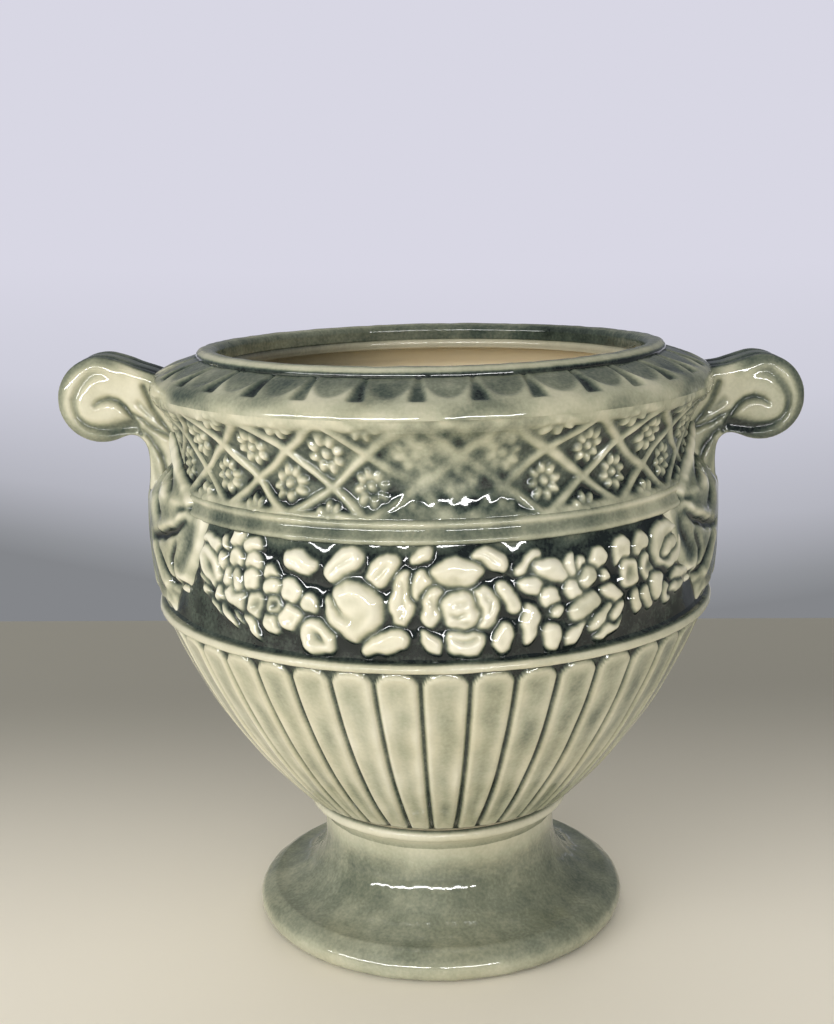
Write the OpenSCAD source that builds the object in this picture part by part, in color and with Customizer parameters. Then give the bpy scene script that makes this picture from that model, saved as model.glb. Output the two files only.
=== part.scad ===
// Footed porcelain planter, round in plan, with two scroll handles.
// Millimetres, Z up. The origin is on the floor, on the axis of the foot.
// The front faces -Y and the handles stand out along +X and -X.

/* [Body] */
// Radius of the body at its widest, the crest of the moulding under the frieze
body_r = 80.6; // [74:0.2:90]

/* [Wall and joints] */
// Thickness of the cast wall
wall = 5.5; // [4.5:0.1:7]
// Height of the locating step in each ring joint
lap_h = 1.5; // [0.8:0.1:2.5]
// Clearance round each locating step
lap_gap = 0.3; // [0.15:0.05:0.5]

/* [Foot] */
// Height of the foot, floor to waist
foot_h = 31; // [27:0.5:40]
// Outer radius of the neck at the top of the foot
neck_r = 34.5; // [30:0.5:37]
// Radius of the hollow curve that flares the foot
flare_r = 16; // [13:0.5:18]
// Radius of the rolled bottom edge
roll_r = 4.5; // [3.5:0.25:5.5]
// Width of the flat ring that the foot stands on
seat_w = 5; // [3:0.5:8]

/* [Waist ring] */
// Height of the waist ring
waist_h = 7; // [5:0.5:10]
// How far the waist bead stands out from the neck
waist_out = 4.5; // [3:0.5:6]
// Radius of the waist bead
waist_bead_r = 2.2; // [1.5:0.1:2.4]

/* [Fluted bowl] */
// Height of the fluted bowl
bowl_h = 59; // [52:1:70]
// Outer radius at the bottom of the bowl
bowl_low_r = 39; // [37:0.5:42]
// How far the top of the bowl is set in from the widest place
bowl_top_in = 2.6; // [1.5:0.1:5]
// Radius of the curve of the bowl's side
bowl_curve_r = 156; // [120:2:220]
// Thickness of the floor of the bowl
floor_t = 6; // [4:0.5:9]
// Number of flutes round the bowl
flute_n = 42; // [24:2:48]
// Depth of the groove between two flutes
flute_depth = 1.3; // [0.6:0.1:2]
// Width of the groove between two flutes
flute_w = 1.6; // [0.8:0.1:2.4]
// Plain margin left above and below the grooves
flute_margin = 2; // [1:0.5:5]

/* [Mouldings] */
// Height of the moulding under the frieze
low_bead_h = 4.5; // [3:0.25:7]
// Height of the moulding over the frieze
top_bead_h = 5.5; // [4:0.25:8]
// How far the crest of the moulding over the frieze is set in
top_bead_in = 3.2; // [1.5:0.1:4]

/* [Frieze] */
// Height of the frieze between its mouldings
frieze_h = 27.5; // [26:0.5:34]
// How far the ground is set in at the bottom of the frieze
ground_low_in = 3.4; // [2.2:0.1:5]
// How far the ground is set in at the top of the frieze
ground_top_in = 6.8; // [5.2:0.1:8]
// How far the garland stands out from the ground
relief_h = 3.2; // [1.5:0.1:4.5]

/* [Trellis collar] */
// Height of the collar
collar_h = 26; // [23:0.5:32]
// How far the collar is set in at its narrowest
collar_in = 8.1; // [6.8:0.1:9.5]
// Radius of the hollow curve of the collar
cavetto_r = 19.6; // [18.5:0.1:24]
// Height of the narrowest place above the bottom of the collar
cavetto_rise = 8.5; // [7:0.5:11]
// Angle between two diamonds of the trellis
diamond_pitch = 17.25; // [15:0.25:20]
// Height of a whole diamond
diamond_h = 15; // [12:0.5:16]
// Width of a trellis strap
strap_w = 2.2; // [1.4:0.1:3]
// Depth of the ground of the trellis below its straps
pocket_depth = 1.2; // [0.6:0.1:1.8]
// Diameter of a floret in the trellis
floret_d = 8.4; // [6:0.2:9]
// Plain margin under the trellis
trellis_margin = 1; // [0.5:0.1:2]

/* [Shoulder and mouth] */
// How far the shoulder is set in at its widest
shoulder_in = 0.9; // [0:0.1:2]
// Radius of the rounded edge of the shoulder
shoulder_round = 5; // [4:0.25:6.5]
// Height of the shoulder above its widest place
shoulder_h = 7.5; // [6.5:0.25:10]
// Radius of the dome between the shoulder and the lip
dome_r = 42; // [30:1:80]
// Number of petals round the shoulder
petal_n = 32; // [24:1:40]
// Depth of the notch between two petals
petal_depth = 1; // [0.5:0.1:1.6]
// Width of the notch between two petals at its lower end
petal_gap = 3.2; // [1.6:0.1:4]
// How far the edge of the mouth is set in
mouth_in = 20.1; // [18:0.1:24]
// Thickness of the rolled lip
lip_t = 5.8; // [5:0.2:7]
// Height of the lip above the shoulder
lip_h = 3.5; // [3:0.25:5]

/* [Handles] */
// How far the centre of a scroll stands out from the widest place of the body
scroll_out = 12.7; // [11.5:0.1:18]
// Height of the centre of a scroll above the bottom of the collar
scroll_rise = 22.5; // [18:0.5:24]
// Radius of a scroll
scroll_r = 12.2; // [11:0.1:15]
// Width of a handle
handle_w = 20; // [14:0.5:26]
// Depth of the groove that draws the scroll
scroll_groove = 1.2; // [0.6:0.1:2]
// Width of the groove that draws the scroll
scroll_groove_w = 1.6; // [1:0.1:2.4]
// How far the root of a handle reaches down and out below its scroll
root_drop = 3; // [2:0.5:5]

/* [Leaf mounts] */
// How far the crest of the leaf stands out from the widest place of the body
leaf_out = 2.4; // [1.5:0.1:4]
// How far the low lobes of the leaf are set in
lobe_in = 1; // [0.2:0.1:1.8]
// Radius of the long curve of the leaf
leaf_curve_r = 130; // [90:5:220]
// Half width of the low lobes
lobe_w = 42; // [36:1:46]

/* [Hidden] */
$fn = 96;

// Glaze colours
CREAM = [0.86, 0.84, 0.74];
SAGE = [0.60, 0.62, 0.54];
SLATE = [0.27, 0.31, 0.31];

// Radii that follow the radius of the body
bowl_top_r = body_r - bowl_top_in;
top_bead_r = body_r - top_bead_in;
ground_low_r = body_r - ground_low_in;
ground_top_r = body_r - ground_top_in;
collar_waist_r = body_r - collar_in;
shoulder_r = body_r - shoulder_in;
mouth_r = body_r - mouth_in;
scroll_x = body_r + scroll_out;

// Heights of the ring joints, from the floor up
z_waist = foot_h;
z_bowl = z_waist + waist_h;
z_low = z_bowl + bowl_h;
z_frieze = z_low + low_bead_h;
z_top = z_frieze + frieze_h;
z_collar = z_top + top_bead_h;
z_shoulder = z_collar + collar_h;
z_lip = z_shoulder + shoulder_h;
z_crest = z_lip + lip_h;

// A small overlap that keeps cutters clear of coplanar faces
eps = 0.01;
// Depth below the ground from which a sprig is raised, before the ground is cut away
sink = 1.5;

// Centre of a circle of radius r through points a and b, on the side of the axis
function arc_centre(a, b, r) =
    let (m = (a + b) / 2, d = b - a, half = norm(d) / 2, rise = sqrt(r * r - half * half))
    m + rise * [-d[1], d[0]] / norm(d);

// Radius of a circle's outer side at height z, from its centre and radius
function side_r(centre, r, z) = centre[0] + sqrt(r * r - pow(z - centre[1], 2));

bowl_c = arc_centre([bowl_low_r, z_bowl], [bowl_top_r, z_low], bowl_curve_r);
cavetto_c = [collar_waist_r + cavetto_r, z_collar + cavetto_rise];
function collar_r(z) = cavetto_c[0] - sqrt(cavetto_r * cavetto_r - pow(z - cavetto_c[1], 2));
function ground_r(z) = ground_low_r + (ground_top_r - ground_low_r) * (z - z_frieze) / frieze_h;
flare_c = [neck_r + flare_r, 2 * roll_r + flare_r];
shoulder_c = [shoulder_r - shoulder_round, z_shoulder];
lip_out_r = mouth_r + lip_t;
dome_top = [lip_out_r, z_lip + lip_t / 5];
dome_low = [shoulder_c[0] + shoulder_round / 2, z_shoulder + shoulder_round * sqrt(3) / 2];
dome_c = arc_centre(dome_low, dome_top, dome_r);

// Inner radius of the wall at each ring joint
neck_in = neck_r - wall;
in_low = side_r(bowl_c, bowl_curve_r - wall, z_low);
in_frieze = ground_low_r - wall;
in_top = ground_top_r - wall;
in_collar = collar_r(z_collar) - wall;
in_shoulder = shoulder_r - wall;
lap_w = wall / 2 - lap_gap;

// Upstanding step at the inner edge of a joint, and the rebate that takes it
module lap_step(r, z) {
    translate([r, z - eps]) square([lap_w, lap_h + eps]);
}
module lap_rebate(r, z) {
    translate([r - wall, z - eps]) square([wall + lap_w + lap_gap, lap_h + lap_gap + eps]);
}

// Four-sided wall section between two heights
module wall_section(in_a, out_a, z_a, in_b, out_b, z_b) {
    polygon([[in_a, z_a], [out_a, z_a], [out_b, z_b], [in_b, z_b]]);
}

// The solid shape of the body with no hollow: what handles, leaves and sprigs seat on
module body_outline() {
    bowl_outline();
    low_bead_outline();
    polygon([[0, z_frieze], [ground_low_r, z_frieze], [ground_top_r, z_top], [0, z_top]]);
    top_bead_outline();
    collar_outline();
    shoulder_outline();
}
module body_fill() {
    rotate_extrude() body_outline();
}
module bowl_outline() {
    intersection() {
        translate(bowl_c) circle(bowl_curve_r, $fn = 360);
        translate([0, z_bowl]) square([bowl_curve_r, bowl_h]);
    }
}
module bead_outline(r, z, h) {
    translate([0, z]) square([r - h / 2, h]);
    translate([r - h / 2, z + h / 2]) circle(h / 2);
}
module right_half() {
    intersection() {
        children();
        square([2 * shoulder_r, z_crest + wall]);
    }
}
module low_bead_outline() {
    right_half() bead_outline(body_r, z_low, low_bead_h);
}
module top_bead_outline() {
    right_half() bead_outline(top_bead_r, z_top, top_bead_h);
}
module collar_outline() {
    difference() {
        union() {
            translate([0, z_collar]) square([shoulder_c[0], collar_h]);
            intersection() {
                translate(shoulder_c) circle(shoulder_round);
                translate([0, z_collar]) square([shoulder_r, collar_h]);
            }
        }
        translate(cavetto_c) circle(cavetto_r, $fn = 180);
    }
}
module shoulder_outline() {
    intersection() {
        union() {
            translate(shoulder_c) circle(shoulder_round);
            intersection() {
                translate(dome_c) circle(dome_r, $fn = 180);
                square([dome_low[0], z_crest]);
            }
        }
        translate([0, z_shoulder]) square([shoulder_r, z_crest]);
    }
}

module foot() {
    color(SAGE)
    rotate_extrude()
    difference() {
        union() {
            // Neck and flare
            difference() {
                translate([0, roll_r]) square([flare_c[0], foot_h - roll_r]);
                translate(flare_c) circle(flare_r);
                translate([neck_r, flare_c[1]]) square([flare_r + eps, foot_h]);
            }
            // Rolled edge with its flat seat
            translate([flare_c[0], roll_r]) circle(roll_r);
            square([flare_c[0], roll_r + eps]);
            lap_step(neck_in, z_waist);
        }
        // Hollow under the foot
        difference() {
            translate([-eps, -eps]) square([flare_c[0] - seat_w + eps, foot_h + lap_h + 2 * eps]);
            translate(flare_c) circle(flare_r + wall);
            translate([neck_in, flare_c[1]]) square([flare_r + wall, foot_h]);
        }
    }
}

module waist_ring() {
    bead_x = neck_r + waist_out - waist_bead_r;
    bead_z = z_bowl - 2 * waist_bead_r;
    color(CREAM)
    rotate_extrude()
    difference() {
        union() {
            wall_section(neck_in, neck_r, z_waist, neck_in, bead_x, bead_z);
            translate([neck_in, bead_z]) square([bead_x - neck_in, 2 * waist_bead_r]);
            translate([bead_x, bead_z + waist_bead_r]) circle(waist_bead_r);
            lap_step(neck_in, z_bowl);
        }
        lap_rebate(neck_in, z_waist);
    }
}

// Cutter for one groove, which follows the curve of the bowl
module flute_cutter() {
    rotate([90, 0, 0])
    translate([0, 0, -flute_w / 2])
    linear_extrude(flute_w)
    intersection() {
        difference() {
            translate(bowl_c) circle(bowl_curve_r + flute_depth, $fn = 360);
            translate(bowl_c) circle(bowl_curve_r - flute_depth, $fn = 360);
        }
        translate([0, z_bowl + flute_margin]) square([bowl_curve_r, bowl_h - 2 * flute_margin]);
    }
}

module fluted_bowl() {
    color(CREAM)
    difference() {
        rotate_extrude()
        difference() {
            union() {
                bowl_outline();
                lap_step(in_low, z_low);
            }
            intersection() {
                translate(bowl_c) circle(bowl_curve_r - wall, $fn = 360);
                translate([-eps, z_bowl + floor_t]) square([in_low + eps, bowl_h]);
            }
            translate([neck_in - lap_gap, z_bowl - eps])
                square([lap_w + 2 * lap_gap, lap_h + lap_gap + eps]);
        }
        for (i = [0 : flute_n - 1])
            rotate([0, 0, -90 + i * 360 / flute_n]) flute_cutter();
    }
}

// A moulding ring: its outline is a half-round bead
module moulding(in_a, in_b, z, h) {
    rotate_extrude()
    difference() {
        union() {
            children();
            lap_step(in_b, z + h);
        }
        polygon([[-eps, z - eps], [in_a, z - eps], [in_b, z + h], [in_b, z + h + 2 * lap_h],
                 [-eps, z + h + 2 * lap_h]]);
        lap_rebate(in_a, z);
    }
}
module lower_moulding() {
    color(CREAM) moulding(in_low, in_frieze, z_low, low_bead_h) low_bead_outline();
}
module upper_moulding() {
    color(CREAM) moulding(in_top, in_collar, z_top, top_bead_h) top_bead_outline();
}

module frieze_band() {
    color(SLATE)
    rotate_extrude()
    difference() {
        union() {
            wall_section(in_frieze, ground_low_r, z_frieze, in_top, ground_top_r, z_top);
            lap_step(in_top, z_top);
        }
        lap_rebate(in_frieze, z_frieze);
    }
}

// Diamonds of the trellis: columns of the upper row, then of the row below it
diamond_cols = [for (k = [-3 : 3]) k * diamond_pitch];
between_cols = [for (k = [-3 : 2]) (k + 0.5) * diamond_pitch];
z_row_low = z_collar + trellis_margin + diamond_h / 2;
z_row_top = z_row_low + diamond_h / 2;
function diamond_half_w(z) = collar_r(z) * sin(diamond_pitch / 2);
// The flat floors of the diamonds stand out by this share of the collar's hollow
floor_share = 0.4;
function pocket_floor(z) = collar_waist_r - pocket_depth + floor_share * (collar_r(z) - collar_waist_r);
// Half width and half height of a diamond's opening at height z
function opening(z) = [diamond_half_w(z) - strap_w * 0.8, diamond_h / 2 - strap_w * 0.7];

// Cutter for one diamond, whose flat floor faces outward
module diamond_cutter(z) {
    w = opening(z)[0];
    h = opening(z)[1];
    translate([0, -pocket_floor(z), z])
    rotate([90, 0, 0])
    linear_extrude(wall)
    polygon([[-w, 0], [0, -h], [w, 0], [0, h]]);
}
// Cutters for the half diamonds along the bottom edge
module half_diamond_cutter(z) {
    w = opening(z)[0];
    h = opening(z)[1];
    translate([0, -pocket_floor(z), z])
    rotate([90, 0, 0])
    linear_extrude(wall)
    polygon([[-w, 0], [w, 0], [0, h]]);
}
module trellis_cutters() {
    for (a = diamond_cols) rotate([0, 0, a]) diamond_cutter(z_row_top);
    for (a = between_cols) rotate([0, 0, a]) diamond_cutter(z_row_low);
    for (a = diamond_cols) rotate([0, 0, a]) half_diamond_cutter(z_collar + trellis_margin + strap_w / 2);
}

module trellis_collar() {
    color(SAGE)
    difference() {
        rotate_extrude()
        difference() {
            union() {
                collar_outline();
                lap_step(in_shoulder, z_shoulder);
            }
            // The inside follows the hollow of the outside
            difference() {
                translate([-eps, z_collar - eps])
                    square([in_shoulder + eps, collar_h + 2 * lap_h]);
                intersection() {
                    translate(cavetto_c) circle(cavetto_r + wall, $fn = 180);
                    translate([0, z_collar - 2 * eps]) square([shoulder_r, collar_h + 2 * eps]);
                }
            }
            lap_rebate(in_collar, z_collar);
        }
        trellis_cutters();
        rotate([0, 0, 180]) trellis_cutters();
    }
}

// Cutter for the notch between two petals, laid along the slope of the shoulder
petal_slope = atan2(dome_top[1] - dome_low[1], dome_low[0] - dome_top[0]);
petal_len = norm(dome_low - dome_top);
module petal_notch() {
    translate([0, -dome_low[0], dome_low[1] - petal_depth])
    rotate([-petal_slope, 0, 0])
    linear_extrude(wall)
    polygon([[-petal_gap / 2, -eps], [petal_gap / 2, -eps],
             [petal_gap / 8, petal_len * 0.8], [-petal_gap / 8, petal_len * 0.8]]);
}

module petal_shoulder() {
    color(SAGE)
    difference() {
        rotate_extrude()
        difference() {
            union() {
                shoulder_outline();
                lap_step(mouth_r, z_lip);
            }
            // Seat of the lip
            difference() {
                translate([-eps, z_lip]) square([lip_out_r + eps, z_crest]);
                lap_step(mouth_r, z_lip);
            }
            // Mouth and the hollow behind the shoulder
            translate([-eps, z_shoulder - eps]) square([mouth_r + eps, z_crest]);
            polygon([[mouth_r - eps, z_shoulder - eps], [in_shoulder, z_shoulder - eps],
                     [in_shoulder, z_shoulder], [mouth_r, z_shoulder + shoulder_h / 3],
                     [mouth_r - eps, z_shoulder + shoulder_h / 3]]);
            lap_rebate(in_shoulder, z_shoulder);
        }
        for (i = [0 : petal_n - 1]) rotate([0, 0, i * 360 / petal_n]) petal_notch();
    }
}

module mouth_lip() {
    color(CREAM)
    rotate_extrude()
    difference() {
        union() {
            translate([mouth_r, z_lip]) square([lip_t, lip_h - lip_t / 2]);
            intersection() {
                translate([mouth_r + lip_t / 2, z_crest - lip_t / 2]) circle(lip_t / 2);
                translate([mouth_r, z_lip]) square([lip_t, lip_h]);
            }
        }
        lap_rebate(mouth_r, z_lip);
    }
}

// Side view of a handle: a scroll on a tall root that runs into the body
z_scroll = z_collar + scroll_rise;
root_x = collar_waist_r - wall / 2;
root_low = z_scroll - scroll_r * 0.93;
module handle_root() {
    polygon([[root_x, z_shoulder], shoulder_c + shoulder_round * [0.6, 0.8],
             [scroll_x - scroll_r * 0.4, z_scroll + scroll_r * 0.9], [scroll_x, z_scroll],
             [scroll_x - scroll_r * 0.2, z_scroll - scroll_r * 0.95],
             [shoulder_r + root_drop, root_low], [shoulder_r, root_low - root_drop],
             [root_x, root_low - root_drop]]);
}
module handle_bar() {
    rotate([90, 0, 0]) {
        linear_extrude(handle_w, center = true) handle_root();
        translate([scroll_x, z_scroll, 0]) cylinder(h = handle_w, r = scroll_r, center = true);
    }
}
// Groove that draws the curl on both faces of the scroll: three strokes, each smaller
curl_gap = 4; // angle by which a stroke stops short of the next
module curl_arc(r, from, to) {
    rotate([0, 0, from])
    rotate_extrude(angle = to - from)
    translate([r - scroll_groove_w / 2, -scroll_groove])
    square([scroll_groove_w, 2 * scroll_groove]);
}
module curl_groove() {
    big = scroll_r * 0.72;
    mid = big * 0.78;
    small = mid * 0.62;
    curl_arc(big, 60, 180 - curl_gap);
    translate([mid - big, 0, 0]) curl_arc(mid, 180 + curl_gap, 360 - curl_gap);
    translate([2 * mid - big - small, 0, 0]) curl_arc(small, curl_gap, 170);
}
module handle() {
    difference() {
        handle_bar();
        body_fill();
        for (s = [-1, 1])
            translate([scroll_x, s * handle_w / 2, z_scroll])
            rotate([90, 0, 0])
            curl_groove();
    }
}
module handle_right() {
    color(CREAM) handle();
}
module handle_left() {
    color(CREAM) mirror([1, 0, 0]) handle();
}

// A pointed leaf outline, where two round discs cross
module leaf_outline(len, w) {
    r = (len * len + w * w) / (4 * w);
    intersection() {
        translate([0, r - w / 2]) circle(r);
        translate([0, w / 2 - r]) circle(r);
    }
}

// Leaf below each handle, drawn as seen along X and mirrored about the handle
module mirrored_y() {
    children();
    mirror([1, 0, 0]) children();
}
module lobe_outline() {
    // Broad upper lobe, which stands at the end of the garland
    translate([lobe_w * 0.77, z_frieze + frieze_h * 0.68])
        rotate(82) leaf_outline(frieze_h * 1.12, lobe_w * 0.5);
    // Lower lobe, whose tip reaches the moulding
    translate([lobe_w * 0.54, z_frieze + frieze_h * 0.46])
        rotate(-50) leaf_outline(frieze_h * 1.35, lobe_w * 0.42);
    translate([0, z_frieze + frieze_h * 0.45])
        square([lobe_w * 0.62, frieze_h * 0.5]);
}
module crest_outline() {
    // Centre blade, from the root of the handle down to the moulding
    translate([0, z_frieze + frieze_h * 0.72])
        rotate(90) leaf_outline(frieze_h * 1.6, lobe_w * 0.7);
    // Folds on both sides of the handle's root
    translate([handle_w * 0.55, z_scroll - scroll_r * 0.62])
        rotate(65) leaf_outline(collar_h * 0.8, handle_w * 0.55);
}
// A barrel about the axis whose radius peaks in the middle of the frieze
module barrel(r) {
    rotate_extrude()
    intersection() {
        translate([r - leaf_curve_r, z_frieze + frieze_h * 0.7]) circle(leaf_curve_r, $fn = 360);
        translate([0, z_low]) square([r + 1, z_shoulder - z_low]);
    }
}
module side_prism() {
    translate([shoulder_r / 2, 0, 0])
    rotate([90, 0, 90])
    linear_extrude(shoulder_r)
    mirrored_y()
    children();
}
module leaf_mount() {
    difference() {
        union() {
            intersection() {
                side_prism() lobe_outline();
                barrel(body_r - lobe_in);
            }
            intersection() {
                side_prism() crest_outline();
                barrel(body_r + leaf_out);
            }
        }
        body_fill();
        handle_bar();
    }
}
module leaf_mount_right() {
    color(CREAM) leaf_mount();
}
module leaf_mount_left() {
    color(CREAM) mirror([1, 0, 0]) leaf_mount();
}

// Garland sprigs. Each stands on the ground of the frieze and faces outward.
// Position is an angle from the front and a rise above the bottom of the frieze.
// Rises, lengths and widths are in units of which the frieze is 27.5 tall
unit = frieze_h / 27.5;
module on_frieze(angle, rise, turn = 0) {
    z = z_frieze + rise * unit;
    rotate([0, 0, angle])
    translate([0, -ground_r(z), z])
    rotate([90, 0, 0])
    rotate([0, 0, turn])
    children();
}
// A flat sprig: its outline is raised from below the ground to a height
module raised(h) {
    translate([0, 0, -sink]) linear_extrude(sink + h) children();
}
module leaf_sprig(len, w) {
    raised(relief_h * 0.75) leaf_outline(len, w);
}
module bud_sprig(d) {
    raised(relief_h * 0.6) circle(d = d);
    translate([0, 0, relief_h * 0.6]) sphere(d = d * 0.8);
}
// A ring of petals whose circles reach in to the middle
module petal_ring(d, petals, petal_d) {
    circle(d = d - petal_d);
    for (i = [0 : petals - 1])
        rotate(i * 360 / petals)
        translate([(d - petal_d) / 2, 0])
        circle(d = petal_d);
}
module blossom_sprig(d) {
    raised(relief_h * 0.65) petal_ring(d, 5, d * 0.42);
    translate([0, 0, relief_h * 0.65]) cylinder(h = relief_h * 0.3, d = d * 0.3);
}
module fruit_sprig(d) {
    intersection() {
        translate([0, 0, relief_h * 1.1 - d / 2]) sphere(d = d);
        translate([0, 0, -sink]) cylinder(h = d, d = d);
    }
}
module rose_sprig(d) {
    raised(relief_h * 0.55) petal_ring(d, 7, d * 0.36);
    translate([0, 0, relief_h * 0.55])
        linear_extrude(relief_h * 0.25) petal_ring(d * 0.66, 5, d * 0.28);
    translate([0, 0, relief_h * 0.8]) cylinder(h = relief_h * 0.2, d = d * 0.26);
}
// Sprigs of one garland: leaves as [angle, rise, length, width, turn]
LEAVES = [[-51, 17, 12, 6.5, -40], [-50, 23, 10, 4.5, 5], [-43, 10, 9, 5, -25], [-27.5, 21.5, 9.5, 5, -10],
          [-18.5, 23, 12, 5.5, 40], [-9.5, 20, 12, 5, 60], [11, 23, 11, 4, -30], [13, 15, 10, 4, -60],
          [11.5, 6.5, 7, 3.8, 90], [17, 9, 9, 4.2, 80], [21, 6, 7, 3.8, 80], [18, 22, 9, 4, 35],
          [29.5, 10, 11, 5, 25], [35, 5.5, 11, 4.5, 30], [42, 8.5, 8, 4.2, 75], [52, 19.5, 12, 7.5, -20]];
// Buds as [angle, rise, diameter]
BUDS = [[-46.7, 11, 4], [-24.5, 12, 4.5], [-5.5, 17, 4.5], [21.5, 13.5, 4.8], [26.5, 14.5, 4.8],
        [30, 18, 4.4], [47.5, 10, 6]];
// Blossoms as [angle, rise, diameter]
BLOSSOMS = [[-41, 20, 12], [-33, 11.5, 12.5], [-21.5, 5.5, 9], [-9, 5, 8], [28, 23, 7.5], [41.5, 18.5, 14]];
FRUIT = [-15.5, 12, 15];
ROSE = [3.8, 13, 21];
module garland() {
    difference() {
        union() {
            for (s = LEAVES) on_frieze(s[0], s[1], s[4]) leaf_sprig(s[2] * unit, s[3] * unit);
            for (s = BUDS) on_frieze(s[0], s[1]) bud_sprig(s[2] * unit);
            for (s = BLOSSOMS) on_frieze(s[0], s[1]) blossom_sprig(s[2] * unit);
            on_frieze(FRUIT[0], FRUIT[1]) fruit_sprig(FRUIT[2] * unit);
            on_frieze(ROSE[0], ROSE[1]) rose_sprig(ROSE[2] * unit);
        }
        rotate_extrude($fn = 360)
            polygon([[0, z_frieze], [ground_low_r, z_frieze], [ground_top_r, z_top], [0, z_top]]);
    }
}
module garland_front() {
    color(CREAM) garland();
}
module garland_back() {
    color(CREAM) rotate([0, 0, 180]) garland();
}

// A floret stands on the flat floor of its diamond
module floret(z) {
    translate([0, -pocket_floor(z), z])
    rotate([90, 0, 0]) {
        for (i = [0 : 7])
            rotate([0, 0, i * 45])
            translate([floret_d * 0.34, 0, 0])
            cylinder(h = pocket_depth * 1.2, d = floret_d * 0.28);
        cylinder(h = pocket_depth, d = floret_d * 0.6);
        cylinder(h = pocket_depth * 1.6, d = floret_d * 0.26);
    }
}
module florets() {
    for (a = diamond_cols) rotate([0, 0, a]) floret(z_row_top);
    for (a = between_cols) rotate([0, 0, a]) floret(z_row_low);
}
module florets_front() {
    color(CREAM) florets();
}
module florets_back() {
    color(CREAM) rotate([0, 0, 180]) florets();
}

foot();
waist_ring();
fluted_bowl();
lower_moulding();
frieze_band();
upper_moulding();
trellis_collar();
petal_shoulder();
mouth_lip();
handle_left();
handle_right();
leaf_mount_left();
leaf_mount_right();
garland_front();
garland_back();
florets_front();
florets_back();
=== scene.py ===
# %% [markdown]
# # A footed porcelain planter
# The planter is slip-cast ware: a ringed body with sprigs, leaves and two scroll handles, under one
# clear grey-green glaze that pools dark in the hollows and runs thin and cream over the edges.
# Each cell below makes one piece or one finish, and says why it is made that way.

# %% Frame
import math

import bpy
import numpy as np
from mathutils import Matrix, Vector


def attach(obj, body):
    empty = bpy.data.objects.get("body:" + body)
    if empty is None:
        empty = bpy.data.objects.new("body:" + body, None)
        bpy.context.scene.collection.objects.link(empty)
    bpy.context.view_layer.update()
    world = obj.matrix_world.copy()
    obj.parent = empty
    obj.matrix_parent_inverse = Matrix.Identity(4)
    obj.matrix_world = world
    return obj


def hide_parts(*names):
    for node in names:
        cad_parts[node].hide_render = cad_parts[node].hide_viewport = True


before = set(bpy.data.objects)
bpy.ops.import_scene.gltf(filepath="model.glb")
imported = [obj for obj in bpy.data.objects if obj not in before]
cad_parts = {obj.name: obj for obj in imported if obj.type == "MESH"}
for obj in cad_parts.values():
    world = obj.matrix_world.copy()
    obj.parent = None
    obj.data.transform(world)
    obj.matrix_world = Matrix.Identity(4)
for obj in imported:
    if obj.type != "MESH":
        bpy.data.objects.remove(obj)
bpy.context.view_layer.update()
print("CAD nodes:", len(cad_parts))

# %% [markdown]
# ## Sizes
# The solids carry the real sizes, so the same heights and radii are repeated here, in millimetres.
# Every mesh is worked out in millimetres and written in metres.

# %% Heights and radii
MM = 0.001
Z_WAIST, Z_BOWL, Z_LOW, Z_FRIEZE = 31.0, 38.0, 97.0, 101.5
Z_TOP, Z_COLLAR, Z_SHOULDER, Z_LIP, Z_CREST = 129.0, 134.5, 160.5, 168.0, 171.5
BOWL_CENTRE, BOWL_R = (-68.2, 151.3), 156.0
COLLAR_CENTRE, COLLAR_R = (92.1, 143.0), 19.6
MEAN_R = 75.5                # radius at which the relief is laid out, in millimetres of arc
FLUTES, PETALS = 42, 32
# Steps round the axis: for what is hidden, for plain rings, for the lip and for the mouldings
HIDDEN_STEPS, PLAIN_STEPS, LIP_STEPS, MOULDING_STEPS = 256, 288, 384, 512
MERGE = 2e-6                 # vertices nearer than this are one, in metres
CREASE = math.radians(50)    # a sharper edge is shaded as an edge
print("height", Z_CREST, "mm")

# %% [markdown]
# ## Drawing a section
# A potter's template is one line from the floor up. It is drawn here from arcs and straights, then
# walked along in equal steps, so that the mesh is as fine as the relief that will be cut into it.

# %% Section helpers
def arc(cx, cz, r, start, end, n=60):
    turn = np.radians(np.linspace(start, end, n))
    return np.c_[cx + r * np.cos(turn), cz + r * np.sin(turn)]


def line(a, b, n=20):
    return np.linspace(a, b, n)


def bow(a, b, r, n=60):
    """The arc from a to b, bulging outwards, or hollow where the radius is written as negative."""
    a, b = np.array(a, float), np.array(b, float)
    half = (b - a) / 2
    side = np.array([-half[1], half[0]]) / np.hypot(*half) * math.copysign(1, r)
    centre = (a + b) / 2 + side * math.sqrt(r * r - half @ half)
    start, end = (math.degrees(math.atan2(*(p - centre)[::-1])) for p in (a, b))
    end -= 360 * round((end - start) / 360)
    return arc(*centre, abs(r), start, end, n)


def walk(step, *parts):
    """The parts joined into one line, in points about a step apart."""
    points = np.vstack(parts)
    gap = np.hypot(*np.diff(points, axis=0).T)
    points = points[np.r_[True, gap > 1e-6]]
    run = np.r_[0, np.cumsum(np.hypot(*np.diff(points, axis=0).T))]
    at = np.linspace(0, run[-1], max(2, int(round(run[-1] / step)) + 1))
    return np.c_[np.interp(at, run, points[:, 0]), np.interp(at, run, points[:, 1])]


def outward(points):
    """The unit normal at each point of a line that runs up the outside."""
    along = np.gradient(points, axis=0)
    normal = np.c_[along[:, 1], -along[:, 0]]
    return normal / np.linalg.norm(normal, axis=1)[:, None]


def bell(x, width):
    """1 where x is 0, falling away on both sides."""
    return np.exp(-(x / width) ** 2)


def soft(x, low, high):
    """0 below one value and 1 above the other, with a smooth rise between them."""
    t = np.clip((x - low) / (high - low), 0, 1)
    return t * t * (3 - 2 * t)


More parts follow.
